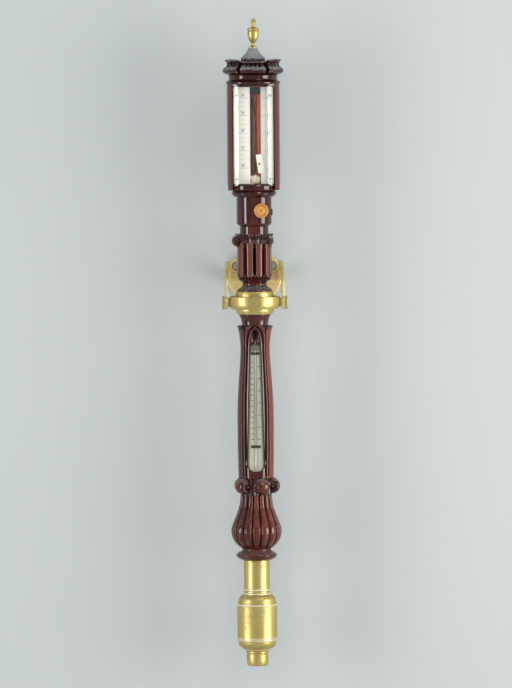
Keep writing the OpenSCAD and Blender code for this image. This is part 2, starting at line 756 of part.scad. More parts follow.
module at_vernier() {
    translate([post_x, 0, z_vernier]) children();
}
module vernier_plate() {
    color("ivory") at_pivot() at_vernier() difference() {
        rotate([0, -vernier_lean, 0]) block(-vernier_w / 2 + 1.5, vernier_w / 2 + 1.5,
            -vernier_y - vernier_t, -vernier_y - 0.02, -vernier_h / 2, vernier_h / 2);
        bar_y(0.8 + fit_gap, 30, 0);
    }
}
module vernier_screw() {
    color("darkgoldenrod") at_pivot() at_vernier() {
        bar_y(0.8, vernier_y + vernier_t + 0.1, -vernier_y + 3);
        difference() {
            bar_y(1.7, vernier_y + vernier_t + 0.8, -vernier_y - vernier_t - 0.02);
            translate([0, -vernier_y - vernier_t - 0.8, 0]) cube([5, 0.8, 0.5], center = true);
        }
    }
}
module vernier_rack() {
    top = z_vernier + lug_h / 2;
    foot = z_rack_foot;
    half = tooth_pitch / 4 - backlash;
    slope = tan(20);
    count = floor((z_setting - foot - 1) / tooth_pitch + 1.5);
    root = rack_x + rack_ded;
    tip = rack_x - rack_add;
    color("darkgoldenrod") at_pivot() difference() {
        union() {
            block(root, rack_back, -rack_y, -rack_y + rack_t, foot, top);
            for (k = [0 : count]) {
                zc = z_setting + (k - count + 1.5) * tooth_pitch;
                translate([0, -rack_y + rack_t, zc]) rotate([90, 0, 0])
                    linear_extrude(rack_t) polygon([
                        [root + 0.1, -half - rack_ded * slope],
                        [tip, -half + rack_add * slope],
                        [tip, half - rack_add * slope],
                        [root + 0.1, half + rack_ded * slope]]);
            }
            block(post_x - post_r, root + 0.5, -rack_y, -rack_y + 2.2,
                z_vernier - lug_h / 2, top);
            at_vernier() bar_y(post_r, vernier_y, -rack_y + 1);
        }
        at_vernier() bar_y(0.8 + fit_gap, vernier_y + 1, -rack_y + 2);
    }
}
// Half of a pinion tooth's angle at radius r, for an involute flank
function roll(r) = let (a = acos(min(base_r / r, 1))) tan(a) * 180 / PI - a;
function half_tooth(r) = 90 / pinion_teeth + roll(pitch_r) - roll(r)
    - backlash / pitch_r * 180 / PI;
module pinion_face() {
    radii = [for (s = [0 : 5]) base_r + (tip_r - base_r) * s / 5];
    inner = half_tooth(base_r);
    circle(r = root_r);
    for (i = [0 : pinion_teeth - 1]) rotate(i * 360 / pinion_teeth) polygon(concat(
        [[root_r * 0.8 * cos(inner), -root_r * 0.8 * sin(inner)]],
        [for (r = radii) [r * cos(half_tooth(r)), -r * sin(half_tooth(r))]],
        [for (s = [5 : -1 : 0]) let (r = radii[s])
            [r * cos(half_tooth(r)), r * sin(half_tooth(r))]],
        [[root_r * 0.8 * cos(inner), root_r * 0.8 * sin(inner)]]));
}
module pinion_shaft() {
    color("goldenrod") at_pivot() translate([knob_x, 0, z_setting]) {
        translate([0, -rack_y + rack_t - 0.1, 0]) rotate([90, 0, 0])
            linear_extrude(rack_t - 0.2) pinion_face();
        bar_y(shaft_r, knob_y + knob_t - 2, shaft_tail);
    }
}
module knob_bush() {
    front = sqrt(pow(barrel_r, 2) - pow(knob_x + bush_r, 2));
    color("gold") at_pivot() translate([knob_x, 0, z_setting]) difference() {
        bar_y(bush_r, front, -rack_y - slide_gap);
        bar_y(shaft_r + run_gap, front + 1, 0);
    }
}
module setting_knob() {
    color("peru") at_pivot() translate([knob_x, -knob_y, z_setting]) rotate([90, 0, 0])
        difference() {
            turned([[0, 0], [knob_r - 2, 0], [knob_r - 1, 1.2], [knob_r, 1.8],
                [knob_r, knob_t - 1.4], [knob_r - 1.2, knob_t], [knob_r - 2.4, knob_t],
                [knob_r - 3, knob_t - 1.2], [2.4, knob_t - 0.7], [2, knob_t - 0.2],
                [0, knob_t - 0.2]]);
            translate([0, 0, -1]) cylinder(r = shaft_r + fit_gap, h = knob_t - 0.9);
        }
}

// Carved trunk below the gimbal
function shaft_outline() = smooth([[petal_r, z_petal - 0.5], [petal_r - 2.6, z_petal - 9],
    [shaft_slim_r, z_petal - 21], [shaft_slim_r + 0.2, z_petal - 44],
    [shaft_slim_r + 2.7, z_petal - shaft_h * 0.36], [shaft_full_r, z_petal - shaft_h * 0.54],
    [shaft_full_r, z_petal - shaft_h * 0.82], [shaft_full_r - 0.8, z_ball_band]], 5);
module lower_trunk() {
    outline = shaft_outline();
    waist = 22.2;
    color("brown") at_pivot() difference() {
        union() {
            turned(concat([[0, -0.2], [tenon_r, -0.2], [tenon_r, z_throat - 0.02],
                [collar_r - 4.4, z_throat - 0.02]],
                smooth([[collar_r - 4.7, z_throat - 2], [petal_r - 5.4, z_throat - 8],
                    [petal_r - 6.5, z_petal + 1]], 5),
                [[petal_r - 1, z_petal]], outline,
                [[waist + 4, z_ball_band - 1], [waist + 1, z_ball_band - 5],
                    [waist, z_bulb + 0.02], [0, z_bulb + 0.02]]));
            around(scroll_count, ball_turn - 90)
                translate([ball_place_r, 0, z_ball_band - ball_band_h / 2])
                    scroll(ball_r, ball_r * 1.7);
        }
        // Grooves all round but in front, where the window is, and notches between the leaf tips
        for (i = [1 : groove_count - 1]) rotate([0, 0, -90 + i * 360 / groove_count])
            groove_cutter([for (p = outline)
                if (p[1] < z_petal - 14 && p[1] > z_ball_band + 4) p]);
        around(groove_count, -90 + 180 / groove_count)
            block(petal_r - 4, 60, -1.7, 1.7, z_petal - 10, z_petal + 2);
        bar_z(tube_bore, z_bulb - 1, 1);
        slot_solid(pocket_y, 60);
    }
}
module thermometer_scale() {
    color("beige") at_pivot()
        slot_solid(pocket_y + 0.02, pocket_y + therm_scale_t, -0.2);
}
module at_stem() {
    translate([0, -stem_y, 0]) children();
}
module thermometer_tube() {
    top = z_pane_top + 3;
    foot = z_pane_foot + 2;
    color("lightsteelblue", 0.5) at_pivot() at_stem() difference() {
        union() {
            bar_z(stem_r, foot, top);
            translate([0, 0, top]) sphere(r = stem_r);
            translate([0, 0, foot]) sphere(r = stem_r);
        }
        bar_z(0.5, foot, top - 1);
    }
}
module thermometer_mercury() {
    color("silver") at_pivot() at_stem()
        bar_z(0.45, z_pane_foot + 2.1, z_pane_foot + pane_h * 0.37);
}
module thermometer_clips() {
    r_in = stem_r + 0.03;
    r_out = r_in + clip_t;
    floor_y = stem_y - pocket_y - therm_scale_t - 0.02;
    color("dimgray") at_pivot() at_stem() for (z = [z_pane_top - 6, z_pane_foot + pane_h * 0.13])
        translate([0, 0, z - 2]) difference() {
            union() {
                cylinder(r = r_out, h = 4);
                block(-r_out, r_out, 0, floor_y, 0, 4);
                block(-7, 7, floor_y - 0.6, floor_y, 0, 4);
                for (x = [-5, 5]) translate([x, floor_y - 0.5, 2]) rotate([90, 0, 0])
                    cylinder(r = 1.3, h = 0.9);
            }
            translate([0, 0, -1]) cylinder(r = r_in, h = 6);
            block(-r_in, r_in, 0, 8, -1, 5);
        }
}
module thermometer_glass() {
    color("lightcyan", 0.4) at_pivot()
        slot_solid(therm_glass_y, therm_glass_y + therm_glass_t, -0.15);
}
module thermometer_bead() {
    front = therm_glass_y + therm_glass_t + 0.02;
    color("maroon") at_pivot() difference() {
        slot_solid(front, front + bead_t, -0.02);
        slot_solid(front - 1, front + bead_t + 1, -bead_w);
    }
}
function bulb_outline() = smooth([[22.2, z_bulb - 3], [24.5, z_bulb - bulb_h * 0.2],
    [29.5, z_bulb - bulb_h * 0.38], [bulb_r - 1, z_bulb - bulb_h * 0.56],
    [bulb_r, z_bulb - bulb_h * 0.66], [bulb_r - 2.6, z_bulb - bulb_h * 0.8],
    [bulb_r - 9, z_bulb - bulb_h * 0.91], [21.4, z_flange + 3]], 5);
module base_bulb() {
    outline = bulb_outline();
    mid = z_flange - flange_h * 0.38;
    color("brown") at_pivot() difference() {
        turned(concat([[0, z_bulb], [21.6, z_bulb]], outline, [[21.2, z_flange]],
            smooth([[21.4, z_flange - 0.6], [24.5, z_flange - 3], [flange_r, mid]], 4),
            [[flange_r, mid - 1.5], [flange_r - 3, z_sleeve + 2.4], [24.4, z_sleeve],
                [0, z_sleeve]]));
        around(lobe_count, -90 + 180 / lobe_count) groove_cutter(
            [for (p = outline) if (p[1] < z_bulb - 8) p], 3.2, 2.4);
        bar_z(tube_bore, z_sleeve - 1, z_bulb + 1);
        bar_z(sleeve_r + fit_gap, z_sleeve - 1, z_sleeve + 14.2);
        sleeve_screw_places() bar_y(1.5 + fit_gap, 40, -sleeve_r + 1);
    }
}

// Glass tube and its mercury
module barometer_tube() {
    color("lightblue", 0.5) at_pivot() difference() {
        union() {
            bar_z(tube_r, z_tube_foot, z_tube_top - tube_r);
            translate([0, 0, z_tube_top - tube_r]) sphere(r = tube_r);
        }
        bar_z(tube_bore_r, z_tube_foot - 1, z_tube_top - 6);
    }
}
module mercury_column() {
    r = tube_bore_r - fit_gap;
    color("silver") at_pivot() turned([[0, z_tube_foot], [r, z_tube_foot],
        [r, z_mercury_top - 1], [r * 0.6, z_mercury_top - 0.2], [0, z_mercury_top]]);
}

// Brass cistern case
module sleeve_screw_places() {
    around(3, 0) translate([0, 0, z_sleeve + 9]) children();
}
module brass_sleeve() {
    bead = 7;
    spigot = 6;
    inner = sleeve_r - 2;
    color("gold") at_pivot() difference() {
        turned([[inner, z_sleeve + 14], [sleeve_r, z_sleeve + 14],
            [sleeve_r, z_shell + bead], [sleeve_r + 0.5, z_shell + bead - 0.6],
            [sleeve_r + 0.5, z_shell + bead - 1.6], [sleeve_r, z_shell + bead - 2.2],
            [sleeve_r, z_shell + 2.6], [sleeve_r + 1.2, z_shell + 1.8],
            [sleeve_r + 1.4, z_shell + 0.02], [sleeve_r - 0.8, z_shell + 0.02],
            [sleeve_r - 0.8, z_shell - spigot], [inner - 1.5, z_shell - spigot]]);
        sleeve_screw_places() bar_y(1.5 + fit_gap, 40, 0);
    }
}
module sleeve_screws() {
    color("goldenrod") at_pivot() sleeve_screw_places() bar_y(1.5, sleeve_r + 3, -sleeve_r + 2);
}
module cistern_shell() {
    top = z_shell;
    neck = sleeve_r - 0.8 + fit_gap;
    color("gold") at_pivot() difference() {
        turned(concat([[0, z_base], [shell_r - 0.2, z_base], [shell_r, z_base + 1.2],
            [shell_r + 0.2, top - shoulder_h - 4], [shell_r + 0.7, top - shoulder_h - 3.6],
            [shell_r + 0.7, top - shoulder_h - 1.6], [shell_r - 0.6, top - shoulder_h - 1],
            [shell_r - 0.6, top - shoulder_h + 0.4]],
            smooth([[shell_r - 1.6, top - shoulder_h + 1], [shell_r - 2.6, top - 6],
                [shell_r - 5.4, top - 2], [sleeve_r + 1.8, top - 0.2]], 4),
            [[sleeve_r + 1.8, top], [0, top]]));
        bar_z(neck, z_lid_top - 1, top + 1);
        bar_z(sleeve_r + 2, z_lid_top - 1, top - 3.5);
        bar_z(shell_in_r, z_base - 1, z_lid_top);
    }
}
module cistern_lid() {
    rim = shell_in_r - fit_gap;
    color("burlywood") at_pivot() difference() {
        turned([[0, z_lid - 4], [cistern_in_r - fit_gap, z_lid - 4],
            [cistern_in_r - fit_gap, z_lid], [rim, z_lid + 0.02], [rim, z_lid_top - 0.02],
            [0, z_lid_top - 0.02]]);
        bar_z(tube_r + fit_gap, z_lid - 5, z_lid_top + 1);
    }
}
module cistern_body() {
    color("burlywood") at_pivot() difference() {
        bar_z(cistern_r, z_cistern, z_lid);
        bar_z(cistern_in_r, z_cistern - 1, z_lid + 1);
    }
}
module cistern_mercury() {
    color("silver") at_pivot() difference() {
        bar_z(cistern_in_r - fit_gap, z_cistern + 0.02, z_mercury);
        bar_z(tube_r + fit_gap, z_tube_foot - fit_gap, z_mercury + 1);
    }
}
module cistern_leather() {
    color("tan") at_pivot()
        bar_z(cistern_r - 0.2, z_leather + 0.02, z_cistern);
}
module cistern_base() {
    inner = spigot_r - spigot_wall;
    color("gold") at_pivot() difference() {
        turned(concat([[0, z_knob + 0.2], [bottom_knob_r + 1.6, z_knob + 0.2],
            [bottom_knob_r + 2.4, z_knob + 2]],
            smooth([[bottom_knob_r + 5, z_knob + 3.4], [shell_r - 3, z_knob + 7.6],
                [shell_r - 1.4, z_base - 4.6]], 4),
            [[shell_r - 1.4, z_base - 2.6], [shell_r - 0.5, z_base - 2],
                [shell_r - 0.5, z_base - 0.02], [spigot_r, z_base - 0.02],
                [spigot_r, z_leather], [0, z_leather]]));
        bar_z(inner, z_well, z_leather + 1);
        bar_z(screw_r + run_gap, z_knob - 1, z_leather);
    }
}

// Portable screw
module pressure_pad() {
    low = z_pad - pad_t;
    color("burlywood") at_pivot() difference() {
        turned([[0, low - pad_hub_h], [pad_hub_r, low - pad_hub_h], [pad_hub_r, low],
            [pad_r, low], [pad_r, z_pad - 1], [pad_r - 1.4, z_pad], [0, z_pad]]);
        bar_z(2.5 + run_gap, low - 2, z_screw_tip + 0.1);
    }
}
module portable_screw() {
    color("goldenrod") at_pivot() {
        turned([[0, z_knob - 14], [screw_r - 1, z_knob - 14], [screw_r, z_knob - 13],
            [screw_r, z_shoulder], [2.5, z_shoulder], [2.5, z_screw_tip], [0, z_screw_tip]]);
    }
}
module bottom_knob() {
    color("gold") at_pivot() difference() {
        turned([[0, z_bottom], [bottom_knob_r - 2.4, z_bottom],
            [bottom_knob_r - 1, z_bottom + 1], [bottom_knob_r - 0.6, z_bottom + 2.6],
            [bottom_knob_r, z_knob - 5.6], [bottom_knob_r - 0.8, z_knob - 5],
            [bottom_knob_r - 0.8, z_knob - 3.6], [bottom_knob_r + 0.2, z_knob - 3],
            [bottom_knob_r + 0.2, z_knob - 0.6], [bottom_knob_r - 0.4, z_knob],
            [0, z_knob]]);
        bar_z(screw_r + fit_gap, z_knob - 14.1, z_knob + 1);
    }
}

wall_plate();
wall_screws();
yoke();
yoke_screws();
gimbal_ring();
ring_pivot_screws();
case_pivot_screws();
gimbal_collar();
finial();
roof_cone();
carved_crown();
cornice();
head_backboard();
stile_left();
stile_right();
bow_glass();
sill();
upper_trunk();
barrel_plug();
scale_plate_left();
scale_plate_right();
scale_screws();
tube_cap();
tube_packing();
vernier_plate();
vernier_screw();
vernier_rack();
pinion_shaft();
knob_bush();
setting_knob();
lower_trunk();
thermometer_scale();
thermometer_tube();
thermometer_mercury();
thermometer_clips();
thermometer_glass();
thermometer_bead();
base_bulb();
barometer_tube();
mercury_column();
brass_sleeve();
sleeve_screws();
cistern_shell();
cistern_lid();
cistern_body();
cistern_mercury();
cistern_leather();
cistern_base();
pressure_pad();
portable_screw();
bottom_knob();
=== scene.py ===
import math
import bmesh
import bpy
from mathutils import Euler, Matrix, Vector, noise


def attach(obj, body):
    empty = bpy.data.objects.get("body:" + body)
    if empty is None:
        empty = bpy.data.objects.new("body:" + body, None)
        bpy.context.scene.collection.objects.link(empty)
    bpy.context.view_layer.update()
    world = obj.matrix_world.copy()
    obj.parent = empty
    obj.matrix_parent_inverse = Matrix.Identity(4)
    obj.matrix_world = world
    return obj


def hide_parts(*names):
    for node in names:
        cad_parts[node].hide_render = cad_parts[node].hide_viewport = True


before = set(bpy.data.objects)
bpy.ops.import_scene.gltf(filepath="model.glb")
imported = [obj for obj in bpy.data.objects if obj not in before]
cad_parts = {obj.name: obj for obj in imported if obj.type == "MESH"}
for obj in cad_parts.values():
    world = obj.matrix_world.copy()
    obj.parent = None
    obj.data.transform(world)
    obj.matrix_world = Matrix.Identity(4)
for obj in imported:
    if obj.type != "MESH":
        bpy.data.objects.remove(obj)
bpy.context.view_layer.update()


# ---- Camera -----------------------------------------------
# It stands far back, a little above the middle of the barometer, and leans by under half a
# degree, as the photograph does.
def stand(name, data):
    """A new object in the scene."""
    thing = bpy.data.objects.new(name, data)
    bpy.context.scene.collection.objects.link(thing)
    return thing


lookout, lean = math.radians(3), math.radians(-0.449)
aim = Vector((0.0013, -0.092, -0.0943))
away = 9.5
camera = stand("camera", bpy.data.cameras.new("camera"))
camera.data.lens = 342.8
camera.data.clip_end = 60
camera.location = aim + away * Vector((0, -math.cos(lookout), math.sin(lookout)))
camera.rotation_euler = (Euler((math.pi / 2 - lookout, 0, 0)).to_matrix()
                         @ Matrix.Rotation(lean, 3, "Z")).to_euler()
bpy.context.scene.camera = camera
bpy.context.scene.view_settings.view_transform = "Standard"


# ---- Wall, floor and light --------------------------------
# A pale grey-green painted wall, seen from its front alone, and a pale floor well below. Two
# tall softboxes stand left and right of the camera and a small one stands high. Three broad
# fills lighten the shadows, and no polished piece mirrors them.
class Strand:
    """One output of a material's nodes. Arithmetic with strands adds Math nodes."""

    def __init__(self, finish, socket):
        self.finish, self.socket = finish, socket

    def work(self, how, other, flip=False):
        pair = (other, self) if flip else (self, other)
        return self.finish.node("Math", {"operation": how}, {0: pair[0], 1: pair[1]})

    def __add__(self, other): return self.work("ADD", other)
    def __radd__(self, other): return self.work("ADD", other, True)
    def __sub__(self, other): return self.work("SUBTRACT", other)
    def __rsub__(self, other): return self.work("SUBTRACT", other, True)
    def __mul__(self, other): return self.work("MULTIPLY", other)
    def __rmul__(self, other): return self.work("MULTIPLY", other, True)
    def __pow__(self, other): return self.work("POWER", other)
    def __gt__(self, other): return self.work("GREATER_THAN", other)
    def __lt__(self, other): return self.work("LESS_THAN", other)


class Finish:
    """A material in the making. Its sockets are set by name, and node() adds any other node."""

    def __init__(self, name, **sockets):
        self.material = bpy.data.materials.new(name)
        self.material.use_nodes = True
        self.tree = self.material.node_tree
        self.shader = self.tree.nodes["Principled BSDF"]
        self.place = self.node("TexCoord", output="Object")
        for name, value in sockets.items():
            self.feed(name.replace("_", " "), value)

    def feed(self, name, value, node=None):
        socket = (node or self.shader).inputs[name]
        if isinstance(value, Strand):
            self.tree.links.new(value.socket, socket)
        else:
            socket.default_value = (*value, 1) if socket.type == "RGBA" and len(value) == 3 else value

    def node(self, kind, settings=None, inputs=None, output=0):
        node = self.tree.nodes.new("ShaderNode" + kind)
        for key, value in (settings or {}).items():
            if key == "stops":
                ramp = node.color_ramp.elements
                while len(ramp) < len(value):
                    ramp.new(0.5)
                for stop, (place, colour) in zip(ramp, value):
                    stop.position, stop.color = place, (*colour, 1)
            else:
                setattr(node, key, value)
        for name, value in (inputs or {}).items():
            self.feed(name, value, node)
        return Strand(self, node.outputs[output])

    def blend(self, share, first, second):
        return self.node("Mix", {"data_type": "RGBA"}, {0: share, 6: first, 7: second}, 2)

    def tint(self, share, first, second):
        self.feed("Base Color", self.blend(share, first, second))

    def bump(self, strength, distance, height):
        self.feed("Normal", self.node("Bump", {}, {
            "Strength": strength, "Distance": distance, "Height": height}))

    def noise(self, scale, detail=2.0, stretch=(1.0, 1.0, 1.0), **more):
        """Noise in the piece's own place, which stretch first scales along each axis."""
        place = self.node("Mapping", {}, {"Vector": self.place, "Scale": stretch})
        return self.node("TexNoise", {}, {"Vector": place, "Scale": scale, "Detail": detail, **more})

    def axis(self, letter):
        return self.node("SeparateXYZ", {}, {0: self.place}, "xyz".index(letter))

    def layer(self, name):
        """A painted shade that carve() left on the mesh: hollow for painted shade, rubbed for a painted
        highlight.
        """
        return self.node("Attribute", {"attribute_name": name}, output="Fac")

    def ramp(self, share, *stops):
        return self.node("ValToRGB", {"stops": stops}, {0: share})

    def span(self, value, low, high, first=0.0, last=1.0):
        """Turns low to high into first to last, and holds those beyond."""
        return self.node("MapRange", {}, {"Value": value, 1: low, 2: high, 3: first, 4: last})


def mesh_of(bm, name):
    mesh = bpy.data.meshes.new(name)
    bm.to_mesh(mesh)
    bm.free()
    return mesh


def ring_edges(bm, loop):
    return [bm.edges.new(pair) for pair in zip(loop, loop[1:] + loop[:1])]


def backdrop(name, width, height, place, turn, colour, opening=0.0):
    """A flat painted panel. One with an opening is a wall: it is seen from its front alone."""
    bm = bmesh.new()
    rim = [bm.verts.new((x * width / 2, y * height / 2, 0))
           for x, y in ((-1, -1), (1, -1), (1, 1), (-1, 1))]
    edges = ring_edges(bm, rim)
    if opening:
        circle = bmesh.ops.create_circle(bm, segments=96, radius=opening)["verts"]
        edges += list({e for v in circle for e in v.link_edges})
    bmesh.ops.triangle_fill(bm, use_beauty=True, edges=edges, normal=(0, 0, 1))
    bm.transform(Matrix.Translation(place) @ Euler(turn).to_matrix().to_4x4())
    mesh = mesh_of(bm, name)
    paint = Finish(name + "_paint", Roughness=0.95)
    paint.feed("Specular IOR Level", 0.1)
    paint.tint(paint.noise(2.0, 3.0), [0.97 * c for c in colour], colour)
    if opening:
        both = paint.node("MixShader", {}, {0: paint.node("NewGeometry", output="Backfacing"),
                                            1: Strand(paint, paint.shader.outputs[0]),
                                            2: paint.node("BsdfTransparent")})
        paint.feed("Surface", both, paint.tree.nodes["Material Output"])
    mesh.materials.append(paint.material)
    panel = stand(name, mesh)


width, height, depth, floor_z = 9, 6, 3.6, -0.95
behind_plate = 0.0375                            # radius of an opening that the wall plate covers
backdrop("wall", width, height, (0, 0.0004, 0), (math.pi / 2, 0, 0), (0.42, 0.446, 0.45), behind_plate)
backdrop("floor", width, depth, (0, -depth / 2, floor_z), (0, 0, 0), (0.50, 0.525, 0.525))


def softbox(name, swing, climb, reach, size, power, colour, shows=True):
    """A soft lamp turned to the barometer, at angles of swing and climb from the camera's side."""
    lamp = stand(name, bpy.data.lights.new(name, "AREA"))
    lamp.data.shape = "RECTANGLE"
    lamp.data.size, lamp.data.size_y = size
    lamp.data.energy, lamp.data.color = power, colour
    turn, up = math.radians(swing), math.radians(climb)
    lamp.location = aim + reach * Vector((math.sin(turn) * math.cos(up),
                                          -math.cos(turn) * math.cos(up), math.sin(up)))
    lamp.visible_glossy, lamp.visible_camera = shows, False
    lamp.rotation_euler = (lamp.location - aim).to_track_quat("Z", "Y").to_euler()


softbox("left_softbox", -60, -4, 2.3, (0.58, 1.5), power=25, colour=(1.0, 0.97, 0.98))
softbox("right_softbox", 63, -4, 2.1, (1.0, 1.5), power=37, colour=(1.0, 0.99, 0.95))
softbox("high_softbox", 30, 46, 2.2, (0.5, 0.9), power=7, colour=(1.0, 1.0, 1.0))
softbox("left_fill", -48, 6, 3.0, (2.6, 2.6), power=9, colour=(1.0, 0.98, 0.98), shows=False)
softbox("right_fill", 46, 8, 3.0, (2.6, 2.6), power=9, colour=(1.0, 0.99, 0.96), shows=False)
softbox("front_fill", -4, 7, 4.0, (3.6, 3.0), power=60, colour=(1.0, 0.995, 0.97), shows=False)

room = bpy.data.worlds.new("studio")
room.use_nodes = True
bpy.context.scene.world = room
room.node_tree.nodes["Background"].inputs["Color"].default_value = (0.41, 0.435, 0.44, 1)

# ---- Wall plate and its screws ----------------------------
# A round plate of cast brass with a bevelled rim, held to the wall by three countersunk
# steel wood screws.
PIVOT_GAP, PIVOT_DROP = 92.0, 34.0               # mm from the wall and below the plate's centre
PIVOT = Vector((0, -PIVOT_GAP / 1000, -PIVOT_DROP / 1000))


def smooth_over(mesh, corner):
    """Smooth shading that keeps the edges at corners above an angle in degrees."""
    mesh.shade_smooth()
    mesh.set_sharp_from_angle(angle=math.radians(corner))


def put(name, bm, finish, body="case", instead_of=(), smooth=32):
    """Makes a piece of a mesh in millimetres from the pivots, and lets it ride on a body."""
    bm.transform(Matrix.Translation(PIVOT) @ Matrix.Scale(0.001, 4))
    mesh = mesh_of(bm, name)
    smooth_over(mesh, smooth)
    mesh.materials.append(finish)
    piece = stand(name, mesh)
    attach(piece, body)
    if instead_of:
        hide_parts(*instead_of)
    return piece


def paint_nodes(finish, *names):
    for name in names:
        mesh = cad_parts[name].data
        mesh.materials.clear()
        mesh.materials.append(finish)


def brass(name, colour, polish, tarnish, metal_share=0.85, sinks=()):
    """Lacquered brass with faint smears, fine marks of the lathe, duller browner patches, and
    paler crests, a painted highlight on brass that rags have rubbed."""
    metal = Finish(name)
    smear, patch = metal.noise(38.0, 5.0, Roughness=0.6), metal.noise(150.0, 3.0)
    fine = metal.noise(1.0, 2.0, (60.0, 60.0, 3200.0))
    stain = metal.span(smear * 0.6 + patch * 0.4, 0.5, 0.72, 0.0, tarnish)
    hollow, rubbed = metal.layer("hollow"), metal.layer("rubbed")
    brown = [c * s for c, s in zip(colour, (0.55, 0.48, 0.5))]
    shade = metal.blend(stain + hollow * 0.7, colour, brown)
    x, z = metal.axis("x"), metal.axis("z")
    head_r, gap_shade_r = 0.0046, 0.0063
    for a, b in sinks:                           # painted shade in the gap round a countersunk screw head
        off = ((x - a) * (x - a) + (z - b) * (z - b)) ** 0.5
        shade = metal.blend((off < gap_shade_r) * (off > head_r) * 0.85, shade, (0.035, 0.03, 0.02))
    # painted highlight: paler, less metallic colour on the crests of beads
    metal.tint(rubbed * 0.8, shade, (0.95, 0.86, 0.70))
    metal.feed("Metallic", metal_share - rubbed * 0.5)
    metal.feed("Roughness", polish + smear * 0.1 + stain * 0.22 + hollow * 0.3)
    metal.bump(0.05, 0.0001, fine + patch * 0.4)
    return metal.material


polished_brass = brass("polished_brass", (0.58, 0.455, 0.16), polish=0.32, tarnish=0.85, metal_share=0.9)
plate_brass = brass("plate_brass", (0.78, 0.63, 0.28), polish=0.36, tarnish=0.6, metal_share=0.75)
aged_brass = brass("aged_brass", (0.46, 0.36, 0.16), polish=0.38, tarnish=0.8)

iron = Finish("screw_steel", Metallic=0.7)
rust = iron.noise(420.0, 6.0)
iron.feed("Base Color", iron.ramp(rust, (0.35, (0.28, 0.29, 0.26)), (0.62, (0.58, 0.59, 0.55)),
                                  (0.75, (0.30, 0.20, 0.13))))
iron.feed("Roughness", rust * 0.4 + 0.2)
screw_circle = 0.031
sinks = [(screw_circle * math.cos(math.radians(a)), screw_circle * math.sin(math.radians(a)))
         for a in (30, 150, 270)]
paint_nodes(brass("wall_plate_brass", (0.86, 0.70, 0.32), polish=0.34, tarnish=0.7, metal_share=0.75,
                  sinks=sinks), "wall_plate")
paint_nodes(iron.material, "wall_screws")

# ---- Yoke -------------------------------------------------
# One strap of brass across the plate, bent forward into two swan-neck arms that end in eyes.
# It is a copy of the CAD's mesh with eased edges, and its arms lean in as they near the wall.


def ease_edges(bm, width, angle):
    """Rounds the edges at which two faces turn by more than an angle in degrees."""
    sharp = [e for e in bm.edges
             if len(e.link_faces) == 2 and e.calc_face_angle(0) > math.radians(angle)]
    bmesh.ops.bevel(bm, geom=sharp, offset=width, offset_type="OFFSET", segments=2, profile=0.5,
                    affect="EDGES", clamp_overlap=True, material=-1)


strap = bmesh.new()
strap.from_mesh(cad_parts["yoke"].data)
strap.transform(Matrix.Scale(1000, 4) @ Matrix.Translation(-PIVOT))
bmesh.ops.remove_doubles(strap, verts=strap.verts, dist=0.0005)
bmesh.ops.dissolve_limit(strap, angle_limit=math.radians(0.5), verts=strap.verts, edges=strap.edges,
                         delimit={"NORMAL"})
ease_edges(strap, 1.0, 38)
arms_from, lean_from, lean_over, most_lean = 36, 20, 40, 4.2
for v in strap.verts:
    if abs(v.co.x) > arms_from:
        lean = most_lean * min(max((v.co.y - lean_from) / lean_over, 0) ** 1.3, 1)
        v.co.x -= math.copysign(lean, v.co.x)
put("yoke_strap", strap, plate_brass, "wall_bracket", ["yoke"])
paint_nodes(aged_brass, "yoke_screws")

# ---- Gimbal ring, pivots and collar -----------------------
# A turned brass ring with flat bosses, four screws with flat slotted heads, and the brass
# collar that joins the upper trunk to the lower one.
paint_nodes(polished_brass, "gimbal_ring", "ring_pivot_screws", "case_pivot_screws")


def curve(keys, steps):
    """Points on a smooth line through key points [radius, height]."""
    points = []
    for i in range(len(keys) - 1):
        a, b = Vector(keys[max(i - 1, 0)]), Vector(keys[i])
        c, d = Vector(keys[i + 1]), Vector(keys[min(i + 2, len(keys) - 1)])
        for s in range(steps):
            t = s / steps
            points.append((2 * b + (c - a) * t + (2 * a - 5 * b + 4 * c - d) * t ** 2
                           + (3 * b - a - 3 * c + d) * t ** 3) / 2)
    return points + [Vector(keys[-1])]


def turned(profile, segments=96, ease=0.25, ring=False, corner=25):
    """A solid turned on the lathe from an outline of points [radius, height], with eased edges.
    A ring's outline runs round a hole."""
    bm = bmesh.new()
    line = [bm.verts.new((point[0], 0, point[1])) for point in profile]
    pairs = list(zip(line, line[1:])) + ([(line[-1], line[0])] if ring else [])
    edges = [bm.edges.new(pair) for pair in pairs]
    bmesh.ops.spin(bm, geom=line + edges, cent=(0, 0, 0), axis=(0, 0, 1), angle=math.tau,
                   steps=segments, use_merge=True)
    bmesh.ops.remove_doubles(bm, verts=bm.verts, dist=1e-4)
    bmesh.ops.recalc_face_normals(bm, faces=bm.faces)
    if ease:
        ease_edges(bm, ease, corner)
    return bm


collar = turned([(20.82, -16.6), (25.6, -16.6), (27.5, -11.6), (27.5, 11.6), (26.9, 15.6),
                 (26.1, 16.6), (20.82, 16.6)], ring=True, corner=12, ease=0.3)
put("collar", collar, polished_brass, instead_of=["gimbal_collar"])

